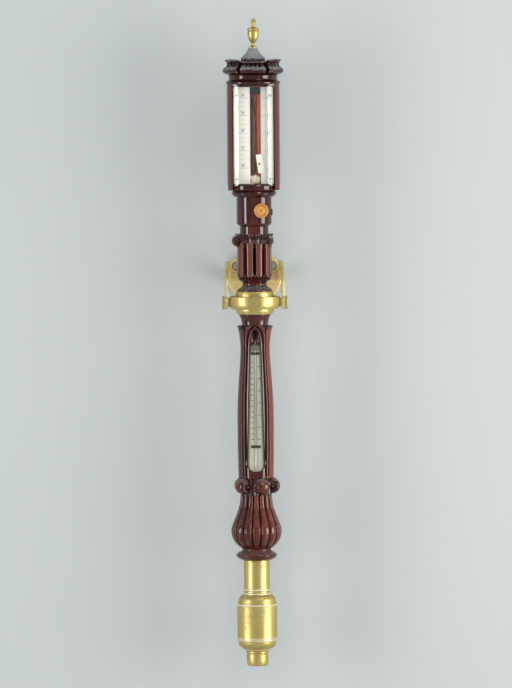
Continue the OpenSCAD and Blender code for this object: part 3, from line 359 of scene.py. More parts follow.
# ---- Finial -----------------------------------------------
# A small turned brass urn with a lid and a bud, screwed into the top of the roof. It leans a
# little to the right.
urn = turned([(0, 357), (2.5, 357), (2.5, 369), (5.4, 369), (5.4, 370.2)]
             + curve([(4.2, 370.9), (2.8, 373.0), (3.0, 375.4), (5.4, 379.4), (7.5, 384.4), (8.0, 389.0),
                      (8.0, 392.2)], 7)
             + [(7.3, 392.9), (7.2, 393.6), (8.8, 394.2), (9.1, 395.2), (8.8, 396.2), (7.0, 397.0)]
             + curve([(3.6, 398.2), (2.7, 400.4), (3.0, 402.2), (3.9, 404.4), (3.7, 406.8), (2.0, 409.8),
                      (0.6, 411.5)], 5) + [(0, 411.7)], segments=72, ease=0.15)
seat, lean = (0, 0, 369), math.radians(1.8)
bmesh.ops.rotate(urn, verts=urn.verts, cent=seat, matrix=Matrix.Rotation(lean, 3, "Y"))
put("urn_finial", urn, polished_brass, instead_of=["finial"])

# ---- Roof -------------------------------------------------
# A turned cone of mahogany over the crown, under years of grey dust.


def mahogany(name, dust_and_sheen=0.0, gloss=1.0, tone=1.0, shown=(0.5, 1.15), film_grey=0.16, bright_within=0.0):
    """French-polished mahogany: streaked grain along Z, short dark pores, shade painted black in the
    hollows, highlights painted orange on the crests and the lit side, and a grey film of dust on what
    faces up, which on some pieces also paints a grey sheen. shown is where the dust starts and where it
    is full."""
    wood = Finish(name)
    along = (1.0, 1.0, 0.09)
    figure = wood.noise(95.0, 5.0, along, Roughness=0.6, Distortion=0.8)
    streak = wood.noise(520.0, 3.0, along)
    pores = wood.span(wood.noise(2600.0, 1.0, (1.0, 1.0, 0.05)), 0.6, 0.72)
    hollow, rubbed = wood.layer("hollow"), wood.layer("rubbed")
    tones = [[c * tone for c in shade] for shade in (
        (0.018, 0.0026, 0.0030), (0.058, 0.0078, 0.0052), (0.150, 0.026, 0.010))]
    colour = wood.ramp(figure * 0.62 + streak * 0.38, *zip((0.3, 0.5, 0.72), tones))
    if bright_within:                            # a strip near the axis was never stained
        left, right = -0.0065, 0.0125
        x, y = wood.axis("x"), wood.axis("y") - PIVOT.y
        inside = (x * x + y * y < bright_within ** 2) * (x > left) * (x < right)
        colour = wood.blend(inside, colour, wood.blend(streak, (0.36, 0.055, 0.028), (0.62, 0.13, 0.06)))
        gloss = gloss - inside * 0.8 * gloss
    # painted highlight: orange on the crests and on the lit side
    colour = wood.blend(rubbed * (figure + 0.15), colour, (0.23, 0.050, 0.019))
    colour = wood.blend(pores * 0.5, colour, (0.012, 0.004, 0.004))
    # painted shade: near black in the hollows
    colour = wood.blend(hollow, colour, (0.004, 0.0028, 0.0035))
    rough, shine = 0.3 + hollow * 0.3, gloss - hollow * 0.75 * gloss
    if dust_and_sheen:
        # a grey film on what faces up: dust, and on the bulb also a painted grey sheen
        up = wood.node("SeparateXYZ", {}, {0: wood.node("NewGeometry", output="Normal")}, 2)
        film = wood.span(up * 0.7 + wood.noise(260.0, 6.0) - hollow * 0.3, *shown, 0.0, dust_and_sheen)
        colour = wood.blend(film, colour, (film_grey, film_grey * 1.01, film_grey))
        rough, shine = rough + film * 0.4, shine - film * gloss
    wood.feed("Base Color", colour)
    wood.feed("Roughness", rough)
    wood.feed("Specular IOR Level", 0.0)
    wood.feed("Coat Weight", shine)
    wood.feed("Coat Roughness", 0.06)
    wood.feed("Coat IOR", 1.5)
    wood.bump(0.18, 0.00006, streak - pores)
    return wood.material


polished_wood = mahogany("polished_mahogany", tone=0.45)
carved_wood = mahogany("carved_mahogany", dust_and_sheen=0.6, tone=0.74, shown=(0.75, 1.15))
dusty_wood = mahogany("dusty_mahogany", dust_and_sheen=0.95, gloss=0.5, tone=0.5, shown=(0.35, 0.8), film_grey=0.25)

cone = turned([(0, 348.7), (16.5, 348.7), (17.5, 349.6), (17.5, 353.6)]
              + curve([(16.9, 354.5), (12.3, 358.9), (8.4, 364.0), (6.7, 367.6)], 8)
              + [(5.9, 368.9), (0, 368.9)], segments=80)
put("roof", cone, dusty_wood, instead_of=["roof_cone"])

# ---- Carved crown -----------------------------------------
# Six broad leaves cut from one ring of mahogany. Each leaf bellies out below, pulls in at the
# waist and rolls over at its scalloped lip, with deep cuts between the leaves, painted dark as shade.


def bell(x, width):
    return math.exp(-(x / width) ** 2)


def clamp(x, low=0.0, high=1.0):
    return max(low, min(high, x))


def rise(x):
    """A smooth step from 0 to 1."""
    x = clamp(x)
    return x * x * (3 - 2 * x)


def carve(bm, cut):
    """Moves each point of a turned blank to where the carver leaves it. cut(angle, radius, height)
    gives the new radius, the new height and a painted shade: up to 1 in a hollow painted black,
    down to -1 on a crest painted with a highlight."""
    dark, rubbed = bm.verts.layers.float.new("hollow"), bm.verts.layers.float.new("rubbed")
    for v in bm.verts:
        radius = math.hypot(v.co.x, v.co.y)
        if radius > 0.01:
            angle = math.degrees(math.atan2(v.co.x, -v.co.y))
            new_radius, height, shade = cut(angle, radius, v.co.z)
            v.co = Vector((v.co.x * new_radius / radius, v.co.y * new_radius / radius, height))
            v[dark], v[rubbed] = clamp(shade), clamp(-shade)


def from_middle(angle, half):
    """Degrees from the middle of the nearest leaf, flute or lobe, each twice half wide."""
    return (angle + half) % (2 * half) - half


def crown_cut(angle, radius, height):
    leaf, foot, tall = 30, 329.8, 22.5           # half a leaf in degrees, and the crown's height
    if radius < 19 or height < foot + 0.4:
        return radius, height, 0.0
    turn = from_middle(angle, leaf)
    side = abs(turn) / leaf
    up = (height - foot) / tall
    gap = bell(leaf - abs(turn), 2.4)
    fold = bell(abs(turn) - leaf, 6.5) - gap
    lip = rise((up - 0.62) / 0.3)
    vein = bell(turn, 1.5) + 0.8 * bell(abs(turn) - 9.5, 1.6) + 0.8 * bell(abs(turn) - 19, 1.6)
    scoop = bell(abs(turn) - 4.8, 2.6) + bell(abs(turn) - 14.3, 2.8) + 0.7 * bell(abs(turn) - 23, 2.4)
    outer = rise((radius - 30) / 4)
    waist = bell(up - 0.62, 0.22)
    new_radius = radius + outer * (0.6 * vein * (1 - lip) - 2.2 * scoop * waist + 0.9 * scoop * lip
                                   + 1.5 * fold * (1 - lip) - 1.6 * side ** 4 * lip
                                   - 10.5 * gap * rise(up * 7) * (1 - 0.3 * lip))
    drop = rise((up - 0.5) / 0.5) * (1.3 * side ** 3 + 0.8 * vein * outer + 5.5 * gap)
    if -3 * leaf < angle < -leaf:                # a piece has split off the left leaf's lip
        drop += 2.6 * bell(turn - 3, 4.5) * rise((up - 0.6) / 0.3)
    if abs(angle) < leaf:                        # the front leaf is worn lower than the rest
        drop += 3.2 * rise((up - 0.55) / 0.45) * (1 - side ** 4)
    # painted shade: black behind the lips, in the cuts and scoops, and darker at the waists and the foot
    inner = 0.95 * rise((32.5 - radius) / 3) * (height > 340)
    shade = 0.98 * gap + 0.75 * scoop * waist + 0.3 * waist + 0.55 * (1 - rise(up / 0.22))
    return new_radius, height - drop, max(shade, inner)


crown = turned([(0, 329.9), (34, 329.9), (36.5, 330.4)]
               + curve([(39.6, 331.2), (42.9, 333.6), (43.6, 336.4), (42.3, 339.2), (38.6, 342.6),
                        (37.8, 345.6), (39.2, 348.6), (40.9, 350.2), (40.8, 351.8), (38.8, 352.4),
                        (35.4, 351.6), (31.4, 348.4), (28.5, 345.6)], 7)
               + curve([(26.0, 344.8), (22.5, 345.4), (18.0, 346.0)], 4) + [(0, 346.0)],
               segments=240, ease=0)
carve(crown, crown_cut)
crown_wood = mahogany("crown_mahogany", dust_and_sheen=0.9, tone=0.45, shown=(0.62, 1.05), film_grey=0.25)
put("leaf_crown", crown, crown_wood, instead_of=["carved_crown"], smooth=50)

# ---- Cornice ----------------------------------------------
# A turned moulding with a hollow and a sharp lip over the window. The brown rail under it
# follows the bow of the glass.


def verts_in(geometry):
    return [part for part in geometry if isinstance(part, bmesh.types.BMVert)]


bm = turned([(0, 316.8), (38.6, 316.8), (39.6, 317.6), (39.6, 319.8), (38.4, 320.8)]
            + curve([(36.9, 321.6), (35.4, 323.6), (35.2, 326.0), (35.8, 328.4)], 7)
            + [(35.8, 329.8), (0, 329.8)], segments=144, ease=0.3)
rail_foot, rail_top, rail_in, rail_out, rail_half = 313.9, 317.2, 50.3, 52.2, 30.2
bow = Vector((0, 19.0, 0))                       # the centre of the glass's curve
line = [bm.verts.new((0, bow.y - r, z)) for r, z in (
    (rail_in, rail_foot), (rail_out, rail_foot), (rail_out, rail_top), (rail_in, rail_top))]
edges = ring_edges(bm, line)
sweep = math.asin(rail_half / rail_out)
bmesh.ops.rotate(bm, verts=line, cent=bow, matrix=Matrix.Rotation(-sweep, 3, "Z"))
swept = bmesh.ops.spin(bm, geom=line + edges, cent=bow, axis=(0, 0, 1), angle=2 * sweep, steps=40)
bm.faces.new(line)
bm.faces.new(verts_in(swept["geom_last"]))
bmesh.ops.recalc_face_normals(bm, faces=bm.faces)
put("cornice_moulding", bm, polished_wood, instead_of=["cornice"])

# ---- Walls of the head ------------------------------------
# A half-round back with channels for the tube and the rack, an upright on each side of the
# glass, and the sill with its moulding, all of polished mahogany.
paint_nodes(mahogany("backboard_mahogany", tone=0.5, bright_within=0.0235), "head_backboard")
paint_nodes(mahogany("stile_mahogany", tone=1.35), "stile_left", "stile_right")
paint_nodes(polished_wood, "sill")

# ---- Bowed glass ------------------------------------------
# Clear window glass, bent to a bow, that slides in grooves of the uprights. Only its gloss
# shows: the rest is seen through.


def clear_glass(name, film):
    glass = Finish(name, Base_Color=(0.96, 0.985, 0.975), Metallic=1.0, Roughness=0.03)
    glass.feed("Alpha", glass.node("Fresnel", {}, {"IOR": 1.5}) * 0.5 + film)
    return glass.material


paint_nodes(clear_glass("window_glass", film=0.008), "bow_glass")

# ---- Scale plates -----------------------------------------
# Two plates of ivory, engraved in inches of mercury and filled with black, each held by two
# small screws of blackened brass.
MERCURY_LEVEL = -465.4
INCH = 25.4


def ivory(name, ticks=(), yellow=0.0, stain=(0.84, 0.78, 0.60), recess=None):
    """Old ivory with fine lines. Each tick row is (edge x, inner x, spacing, first height, last
    height, line's width), all in millimetres from the pivots, in the piece's own place. recess is
    (half width at height 0, its growth downwards, height where its painted shade at the top begins)."""
    bone = Finish(name, Roughness=0.32)
    x, z = bone.axis("x") * 1000.0, bone.axis("z") * 1000.0 + PIVOT_DROP
    grain, age = bone.noise(700.0, 3.0, (1.0, 1.0, 0.15)), bone.noise(55.0, 4.0)
    pale = bone.blend(age * 0.35 + yellow, (0.91, 0.895, 0.83), stain)
    colour = bone.blend(grain * 0.12, pale, (0.74, 0.66, 0.50))
    if recess:                                   # painted shade of the recess along the sides and at the top
        half, growth, shaded_end = recess
        side = bone.span(half - z * growth - (x * x) ** 0.5, 2.5, 4.9, 0.85, 0.0)
        end = bone.span(z, shaded_end, shaded_end + 3, 0.0, 0.85)
        colour = bone.blend(side, bone.blend(end, colour, (0.13, 0.095, 0.07)), (0.13, 0.105, 0.06))
    ink = None
    for x0, x1, step, low, high, width in ticks:
        near = bone.node("Math", {"operation": "PINGPONG"}, {0: z - low, 1: step / 2})
        row = (near < width / 2) * (x > min(x0, x1)) * (x < max(x0, x1)) * (z > low - width) * (z < high)
        ink = row if ink is None else bone.node("Math", {"operation": "MAXIMUM"}, {0: ink, 1: row})
    if ink:
        colour = bone.blend(ink * 0.82, colour, (0.03, 0.028, 0.025))
    bone.feed("Base Color", colour)
    return bone.material


def inches(n):
    return MERCURY_LEVEL + INCH * n


low, high = inches(26), inches(30.7)
left, right = -4.9, 10.6                         # the plates' inner edges
whole = 400                                      # a tick as wide as this is an upright line
paint_nodes(ivory("right_scale_ivory", stain=(0.60, 0.63, 0.58), yellow=0.35, ticks=[
    (right, 13.0, INCH / 10, low, high, 0.3), (right, 14.6, INCH / 2, low, high, 0.35),
    (right, 17.0, INCH, low, high, 0.4), (17.6, 17.9, whole, 173, 311, whole)]),
    "scale_plate_right")
paint_nodes(ivory("left_scale_ivory", [
    (-7.3, left, INCH / 10, low, high, 0.3), (-8.9, left, INCH / 2, low, high, 0.35),
    (-25.5, left, INCH, low, high, 0.35), (-24.5, -12.5, INCH / 4, low, high, 0.22)]),
    "scale_plate_left")
paint_nodes(brass("blackened_screw", (0.10, 0.09, 0.06), polish=0.45, tarnish=0.8), "scale_screws")
paint_nodes(aged_brass, "vernier_screw")


def applied(thing):
    """A new mesh of an object with its modifiers or text applied."""
    bpy.context.view_layer.update()
    return bpy.data.meshes.new_from_object(thing.evaluated_get(bpy.context.evaluated_depsgraph_get()))


ink = Finish("engraving_ink", Roughness=0.6)
ink.tint(ink.noise(900.0), (0.03, 0.027, 0.026), (0.09, 0.08, 0.07))
numerals = bmesh.new()
plate_face = -9.53
for n in range(26, 31):
    for x, above in ((21.3, 0), (-15.5, 3.6)):
        text = bpy.data.curves.new("numeral", "FONT")
        text.body, text.size, text.extrude = str(n), 5.2, 0.02
        text.align_x, text.align_y = "CENTER", "CENTER"
        shape = stand("numeral", text)
        flat = applied(shape)
        flat.transform(Matrix.Translation((x, plate_face, inches(n) + above))
                       @ Matrix.Rotation(math.pi / 2, 4, "X"))
        numerals.from_mesh(flat)
        bpy.data.objects.remove(shape)
        bpy.data.meshes.remove(flat)
        bpy.data.curves.remove(text)
put("scale_numerals", numerals, ink.material)

# ---- Tube cap and packing ---------------------------------
# A dark block steadies the top of the tube, and a wad of raw cotton is stuffed round its foot.
# The plug on the barrel's right side is as dark as the block.
ebony = Finish("ebony")
seam = ebony.noise(900.0, 4.0, (1.0, 1.0, 0.1))
ebony.tint(seam, (0.008, 0.008, 0.009), (0.03, 0.027, 0.026))
ebony.feed("Roughness", 0.3 + seam * 0.3)
paint_nodes(ebony.material, "tube_cap", "barrel_plug")

cotton = Finish("raw_cotton", Roughness=0.9)
tuft = cotton.noise(900.0, 8.0, Roughness=0.7)
cotton.feed("Base Color", cotton.ramp(tuft, (0.3, (0.50, 0.40, 0.23)), (0.55, (0.80, 0.72, 0.52)),
                                      (0.75, (0.90, 0.86, 0.72))))
cotton.feed("Sheen Weight", 0.4)
cotton.bump(0.8, 0.0005, tuft)
wad = bmesh.new()
for x, y, z, r in ((-2.6, -6.6, 181, 3.3), (0.6, -7.4, 176.2, 4.2), (5.4, -6.4, 175.8, 3.8),
                   (7.3, -5.9, 180.2, 2.7), (2.6, -6.8, 181.6, 3.4), (-1.4, -6.5, 173.9, 3.2)):
    bmesh.ops.create_icosphere(wad, subdivisions=4, radius=r, matrix=Matrix.Translation((x, y, z)))
back, lowest, left, right = -0.2, 171.5, -4.7, 10.2
for v in wad.verts:
    lump = noise.fractal(v.co * 0.45, 1.0, 2.0, 4) + 0.35 * noise.fractal(v.co * 1.9, 1.0, 2.0, 3)
    v.co += v.normal * lump * 0.9
    v.co = (clamp(v.co.x, left, right), min(v.co.y, back), max(v.co.z, lowest))
put("cotton_packing", wad, cotton.material, instead_of=["tube_packing"], smooth=80)

# ---- Vernier ----------------------------------------------
# A short plate of ivory that leans a little to the left, screwed to a brass rack that slides
# behind the right scale plate.
paint_nodes(ivory("vernier_ivory", [(3.2, 5.6, 2.3, 189, 213, 0.3)], yellow=0.35), "vernier_plate")
paint_nodes(aged_brass, "vernier_rack")

# ---- Upper trunk ------------------------------------------
# Turned and carved from one piece: the barrel and neck, a fluted column with rounded ribs,
# and a flared foot that stands on the collar.


def flute_cut(angle, radius, height):
    half = 18                                    # half a flute, in degrees
    if radius < 15 or not 34.0 < height < 86:
        return radius, height, 0.0
    turn = from_middle(angle, half)
    up = clamp((height - 38.5) / 6.0)
    groove = bell(turn, 5.0 * math.sqrt(max(up, 0.02))) * rise(up * 2)
    rib = clamp(abs(turn) / half)
    foot = rise((41.5 - height) / 5)             # the ribs end in round lobes, with darts between
    dart = bell(turn, 1.5 + 4.0 * clamp((40 - height) / 6)) * rise((42.5 - height) / 3)
    seam = bell(abs(turn) - 6.5, 2.4) * bell(height - 38.5, 3.4)
    new_radius = (radius - 5.6 * groove - 0.9 * (1 - rib) ** 2 - 3.0 * clamp((39.5 - height) / 5) ** 2
                  - 1.5 * seam - 0.8 * foot * (1 - rib) + 1.0 * dart)
    # painted highlight along each rib's crest, a little brighter to the right; painted shade in the
    # grooves and seams
    crest_highlight = bell(1 - rib, 0.42) * (1 - foot) * (0.8 + 0.2 * rise((angle + 40) / 80))
    return new_radius, height, 0.98 * groove ** 1.2 + 0.8 * seam - crest_highlight


column_r, column_foot, row = 24.7, 34.2, 0.9
trunk = turned([(0, 16.64), (25.4, 16.64), (25.5, 17.8)]
               + curve([(25.0, 19.0), (22.4, 20.8), (19.4, 22.8), (17.5, 25.6), (17.9, 28.4),
                        (20.6, 31.0), (23.6, 32.8), (column_r, column_foot)], 6)
               + [(column_r, column_foot + i * row) for i in range(1, 58)]
               + [(23.4, 86.6), (22.2, 88.6), (22.2, 95.6), (20.9, 98.6), (20.7, 99.6), (20.7, 110.4),
                  (21.6, 111.0), (25.0, 114.2), (25.4, 115.6), (25.4, 152.88), (0, 152.88)],
               segments=240, ease=0)
carve(trunk, flute_cut)


def coil(radius, width, taper, thickness, turns, swell, rims=True):
    """A ribbon rolled up in a spiral round the Y axis, from the trunk's side over the top and
    down outside, in to its eye. Each turn is taper times the size of the turn outside it, and
    its back is crowned, between two raised rims or from side to side."""
    bm = bmesh.new()
    steps, first = 24, 165                       # steps in a turn, and degrees to its start
    shrink = taper ** (1 / steps)
    start = math.radians(first)
    radius /= taper ** (first / 360)
    half = ([(0, 1), (0.36, 1), (0.58, 0.95), (0.70, 0.84), (0.70, 0.74), (0.90, 0.42)] if rims
            else [(0, 0.9), (0.2, 0.92), (0.5, 0.84), (0.72, 0.68), (0.88, 0.46), (0.97, 0.22)])
    section = [(depth, -across) for depth, across in half] + [(1, 0)] + half[::-1]
    loop = []
    for depth, across in section:
        r = radius * (1 - thickness + thickness * depth)
        loop.append(bm.verts.new((r * math.cos(start), across * width / 2, r * math.sin(start))))
    edges = ring_edges(bm, loop)
    bm.faces.new(loop)
    for _ in range(int(turns * steps)):
        out = bmesh.ops.extrude_edge_only(bm, edges=edges)["geom"]
        loop = verts_in(out)
        edges = [g for g in out if isinstance(g, bmesh.types.BMEdge) and all(v in loop for v in g.verts)]
        bmesh.ops.rotate(bm, verts=loop, cent=(0, 0, 0),
                         matrix=Matrix.Rotation(math.tau / steps, 3, "Y"))
        bmesh.ops.scale(bm, verts=loop, vec=(shrink, swell ** (1 / steps), shrink))
    bmesh.ops.edgeloop_fill(bm, edges=edges)
    return bm


def scroll(bm, radius, width, place, height, turn, rims=True):
    """Adds one carved scroll to bm: its coil, the ground between the turns, and the round eye. It
    stands at a place out from the axis, at a height and a turn from the front."""
    one = coil(radius, width, taper=0.58, thickness=0.46, turns=1.7, swell=1.1, rims=rims)
    ground = coil(radius * 0.93, width * 0.8, taper=0.58, thickness=0.6, turns=1.5, swell=1.05)
    eye = bmesh.new()
    bmesh.ops.create_uvsphere(eye, u_segments=24, v_segments=14, radius=1,
                              matrix=Matrix.Diagonal((radius * 0.33, width * 0.68, radius * 0.33, 1)))
    for part in (one, ground, eye):
        bmesh.ops.recalc_face_normals(part, faces=part.faces)
        dark, rubbed = (part.verts.layers.float.new(name) for name in ("hollow", "rubbed"))
        # painted shade on the ground between the turns, and a painted highlight down the middle of the
        # coil and eye
        for v in part.verts:
            v[dark] = 0.9 if part is ground else 0.0
            v[rubbed] = 0.0 if part is ground else 0.5 * bell(2 * v.co.y / width, 0.4)
        part.transform(Matrix.Rotation(math.radians(turn - 90), 4, "Z")
                       @ Matrix.Translation((place, 0, height)))
        scratch = mesh_of(part, "scratch")
        bm.from_mesh(scratch)
        bpy.data.meshes.remove(scratch)


put("upper_trunk_carving", trunk, carved_wood, instead_of=["upper_trunk"], smooth=45)

# ---- Scroll capital ---------------------------------------
# Four scrolls stand out under the neck, the left one largest, over a ring of small drooping
# leaves. They are cut from the same wood as the trunk.


def capital_cut(angle, radius, height):
    # the inside of the ring is painted in half shade
    if radius < 21.5:
        return radius, height, 0.5
    half, foot, tall = 18, 79.4, 20.6            # half a leaf in degrees, and the capital's height
    turn = angle % (2 * half) - half             # 0 over a rib of the column
    up = (height - foot) / tall
    side = abs(turn) / half
    gap = bell(half - abs(turn), 2.6 - 1.2 * up)
    vein = bell(turn, 2.0)
    new_radius = radius - 1.2 * side ** 2 - 5.6 * gap + 1.0 * vein - 1.2 * bell(abs(turn) - 6.5, 2.6)
    drop = rise((up - 0.4) / 0.6) * (4.4 * side ** 2.2 + 3.0 * gap)
    # painted shade in the gaps between the leaves and beside the veins, a painted highlight on each vein
    return new_radius, height - drop, 0.98 * gap + 0.75 * bell(abs(turn) - 6.5, 2.4) - 0.3 * vein


capital = turned([(20.6, 79.4), (24.0, 79.6)]
                 + curve([(24.6, 81.4), (23.6, 84.5), (23.2, 88.0), (23.8, 92.0), (25.2, 95.6),
                          (26.4, 98.4), (26.0, 99.9), (24.6, 99.8), (23.2, 97.6), (22.2, 95.0)], 5)
                 + [(20.6, 94.6)], ring=True, segments=240, ease=0)
carve(capital, capital_cut)
for turn, radius, out in ((-79, 9.0, 24.4), (66, 8.2, 21.5), (128, 8.2, 24.4), (197, 8.2, 24.4)):
    scroll(capital, radius, 12.5, out, height=89.0, turn=turn)
capital_wood = mahogany("capital_mahogany", dust_and_sheen=0.8, tone=0.45, shown=(0.7, 1.1), film_grey=0.2)
put("scroll_capital", capital, capital_wood, smooth=50)

# ---- Setting knob -----------------------------------------
# A turned knob of orange-stained bone on the pinion's shaft, in a small brass bush.
stained_bone = Finish("stained_bone", Roughness=0.3)
mottle = stained_bone.ramp(stained_bone.noise(240.0, 5.0, Distortion=1.5), (0.3, (0.36, 0.125, 0.025)),
                           (0.55, (0.56, 0.24, 0.05)), (0.75, (0.66, 0.35, 0.10)))
# painted shade: darker where carve() marks the groove and the centre
stained_bone.tint(stained_bone.layer("hollow"), mottle, (0.12, 0.05, 0.015))
stained_bone.feed("Coat Weight", 0.5)
stained_bone.feed("Subsurface Weight", 0.1)
knob = turned([(0, 0), (8.5, 0), (9.5, 1.2), (10.5, 1.8), (10.5, 5.6), (9.3, 7.0), (8.1, 7.0),
               (7.5, 5.8), (5.5, 5.5), (3.2, 6.0), (2.3, 6.6), (1.1, 6.8), (0.9, 6.0), (0, 5.9)],
              segments=72, ease=0.3)
groove_r = 7.7
# the groove is marked as painted shade, and the centre is painted dark
carve(knob, lambda angle, radius, height: (
    radius, height, 0.8 * bell(radius - groove_r, 0.5) * (height > 4) + clamp(1.6 - radius)))
knob_back = (10.4, -25.9, 133.9)
knob.transform(Matrix.Translation(knob_back) @ Matrix.Rotation(math.pi / 2, 4, "X"))
put("bone_knob", knob, stained_bone.material, "knob", ["setting_knob"])
paint_nodes(polished_brass, "knob_bush", "pinion_shaft")

# ---- Lower trunk ------------------------------------------
# A long carved shaft. Pointed leaf tips stand round its top, wide smooth panels and narrow
# reeds run down it, and the thermometer's window is cut into the front.


LEAF_TIPS, SHAFT_FOOT = -33.3, -254.3


def shaft_cut(angle, radius, height):
    if radius < 12 or height > -17.2 or height < -279.8:
        return radius, height, 0.0
    if height < SHAFT_FOOT:                      # sixteen reeds between the lower scrolls
        ridge = math.cos(math.radians(angle) * 16)
        # painted shade between the reeds
        return radius + 0.8 * ridge - 0.5, height, 0.8 * clamp(-ridge)
    down = LEAF_TIPS - height
    turn = min(abs(angle), 180 - abs(angle))     # the back is carved as the front is
    arch = 34.5 * (1 - math.exp(-max(down, 0) / 8.5))
    reed = 40 + 8 * rise(down / 20)
    narrow = 2.3 + 1.2 * bell(down, 12)
    groove = max(bell(turn - arch, narrow), bell(turn - reed, narrow))
    deep = (0.5 + 0.5 * rise(down / 12)) * rise((height + 253.5) / 3)
    new_radius, shade = radius, 0.0
    if down > -0.2:                              # near is the middle of a panel, strand or reed
        near = 0 if turn < arch else (arch + reed) / 2 if turn < reed else 90
        half = max(arch if near == 0 else (reed - arch) / 2 if turn < reed else 90 - reed, 1)
        away = clamp(abs(turn - near) / half)
        top = 1 - rise((down - 14) / 18)
        new_radius -= 2.9 * groove * deep
        new_radius -= 0.5 * away ** 2 if near == 90 else 0.25 * away ** 2
        new_radius += 0.9 * bell(away, 0.35) * top * (near != 0)
        # the right panel is painted paler and orange as the side the lamps light most; the grooves are
        # painted as shade
        lit_side = (near == 90) * (0.1 + 0.75 * rise((angle - 30) / 15))
        shade = 0.98 * groove * deep - (1 - groove) * lit_side - 0.35 * bell(away, 0.5) * (0 < near < 90)
        if near == 0:                            # two strands meet over a hollow in the front leaf
            hollow = rise((0.46 - away) / 0.22) * rise((down - 4) / 4) * top
            new_radius += (0.8 * bell(away - 0.7, 0.22) * top - 2.9 * hollow
                           + 1.6 * hollow * bell(turn, 1.8))
            # painted shade in the hollow
            shade += (0.9 - shade) * hollow
        tip = {0: 1.2, 90: 8.5}.get(near, 4.5) * away ** 1.6 + (1.0 if near == 0 else 0.0)
        sunk = rise((tip - down) / 2.0)          # the notches between the leaf tips
        new_radius += (18.6 - new_radius) * sunk
        # painted shade in the notches
        shade += (0.75 - shade) * sunk
    return new_radius, height, shade


shaft = turned([(0, -0.2), (20.8, -0.2), (20.8, -16.62), (23.1, -16.62)]
               + curve([(22.8, -18.6), (20.4, -24), (18.9, -31.4)], 5)
               + [(19.4, -32.6), (24.0, -33.2)]
               + curve([(25.4, -33.8), (22.8, -42.3), (21.5, -54.3), (21.7, -77.3), (24.2, -112.9),
                        (26.4, -152.6), (26.4, -214.5), (25.6, SHAFT_FOOT)], 26)
               + curve([(25.4, -254.8), (23.6, -258.0), (22.3, -266.0), (22.2, -280.26)], 8)
               + [(0, -280.26)], segments=260, ease=0)
carve(shaft, shaft_cut)
window = bmesh.new()
top_r, top_z, foot_r, foot_z = 9.1, -67.4, 13.2, -233.1
window_front, window_floor = -60, -11.5
outline = [window.verts.new((r * math.cos(math.radians(a)), window_front,
                             z + r * math.sin(math.radians(a))))
           for r, z, first, last in ((top_r, top_z, 2, 178), (foot_r, foot_z, 182, 358))
           for a in [first + (last - first) * i / 24 for i in range(25)]]
grown = bmesh.ops.extrude_face_region(window, geom=[window.faces.new(outline)])["geom"]
bmesh.ops.translate(window, verts=verts_in(grown), vec=(0, window_floor - window_front, 0))
bmesh.ops.recalc_face_normals(window, faces=window.faces)
cutter = put("window_cutter", window, carved_wood)
trunk_piece = put("lower_trunk_carving", shaft, carved_wood, instead_of=["lower_trunk"],
                  smooth=45)
cut = trunk_piece.modifiers.new("window", "BOOLEAN")
cut.object, cut.operation, cut.solver = cutter, "DIFFERENCE", "EXACT"
opened = applied(trunk_piece)
trunk_piece.modifiers.clear()
trunk_piece.data = opened
smooth_over(opened, 45)
bpy.data.objects.remove(cutter)

# ---- Lower scrolls ----------------------------------------
# Five heavier scrolls round the foot of the shaft.
band = bmesh.new()
for i in range(5):
    scroll(band, 11.8, 20.0, 23.0, height=-267.3, turn=-52 + 72 * i, rims=False)
put("lower_scrolls", band, carved_wood, smooth=50)

# ---- Thermometer ------------------------------------------
# A thin glass tube with its bulb and thread of mercury lies on an ivory scale, held by two
# blackened clips, behind a flat glass in a bead of wood.
low, high = -198, -82
paint_nodes(ivory("thermometer_ivory", [
    (-6.2, -2.7, 8.0, low, high, 1.3), (-3.6, -2.7, 1.6, low, high, 0.3),
    (3.4, 6.6, 17.6, low, high, 1.2), (2.7, 3.8, 1.76, low, high, 0.3)],
    yellow=0.6, stain=(0.66, 0.66, 0.45), recess=(7.43, 0.0247, -72)), "thermometer_scale")
stem = Finish("stem_glass", Metallic=0.35, Roughness=0.12, Coat_Weight=1.0)
x, z = stem.axis("x"), stem.axis("z")
stem_highlight = (x > -0.0007) * (x < 0.0008)            # a painted highlight down the middle of the stem
bulb_top = -0.243
# painted reflection: the bulb is painted bright white, as the shine of its mercury
reservoir = (x > -0.0012) * (x < 0.0013) * (z < bulb_top)
haze = stem.blend(stem.noise(260.0), (0.09, 0.12, 0.12), (0.16, 0.20, 0.20))
stem.tint(stem_highlight * 0.8 + reservoir, haze, (0.94, 0.95, 0.96))
stem.feed("Alpha", stem.node("Fresnel", {}, {"IOR": 1.5}) + 0.8)
tube = turned([(0, -244.6), (0.9, -244.3), (1.5, -243.2), (1.6, -242.0), (1.6, -213.0), (1.45, -211.5),
               (1.45, -70.0), (1.1, -68.8), (0, -68.2)], segments=32, ease=0)
stem_y = -14.7
tube.transform(Matrix.Translation((0, stem_y, 0)))
put("thermometer_stem", tube, stem.material, instead_of=["thermometer_tube"])
paint_nodes(clear_glass("thermometer_window_glass", film=0.02), "thermometer_glass")
mercury = Finish("mercury", Metallic=1.0, Base_Color=(0.80, 0.81, 0.84))
mercury.feed("Roughness", mercury.noise(300.0) * 0.06 + 0.02)
paint_nodes(mercury.material, "thermometer_mercury", "cistern_mercury")
paint_nodes(brass("blackened_clip", (0.05, 0.06, 0.05), polish=0.4, tarnish=0.8), "thermometer_clips")
paint_nodes(polished_wood, "thermometer_bead")

# ---- Barometer tube ---------------------------------------
# A long glass tube down the case, closed at its top behind the scales and full of mercury,
# whose colour is painted as its reflection of the dark wood round it.
paint_nodes(clear_glass("tube_glass", film=0.02), "barometer_tube")
column = Finish("mercury_in_tube", Metallic=0.6, Roughness=0.22)
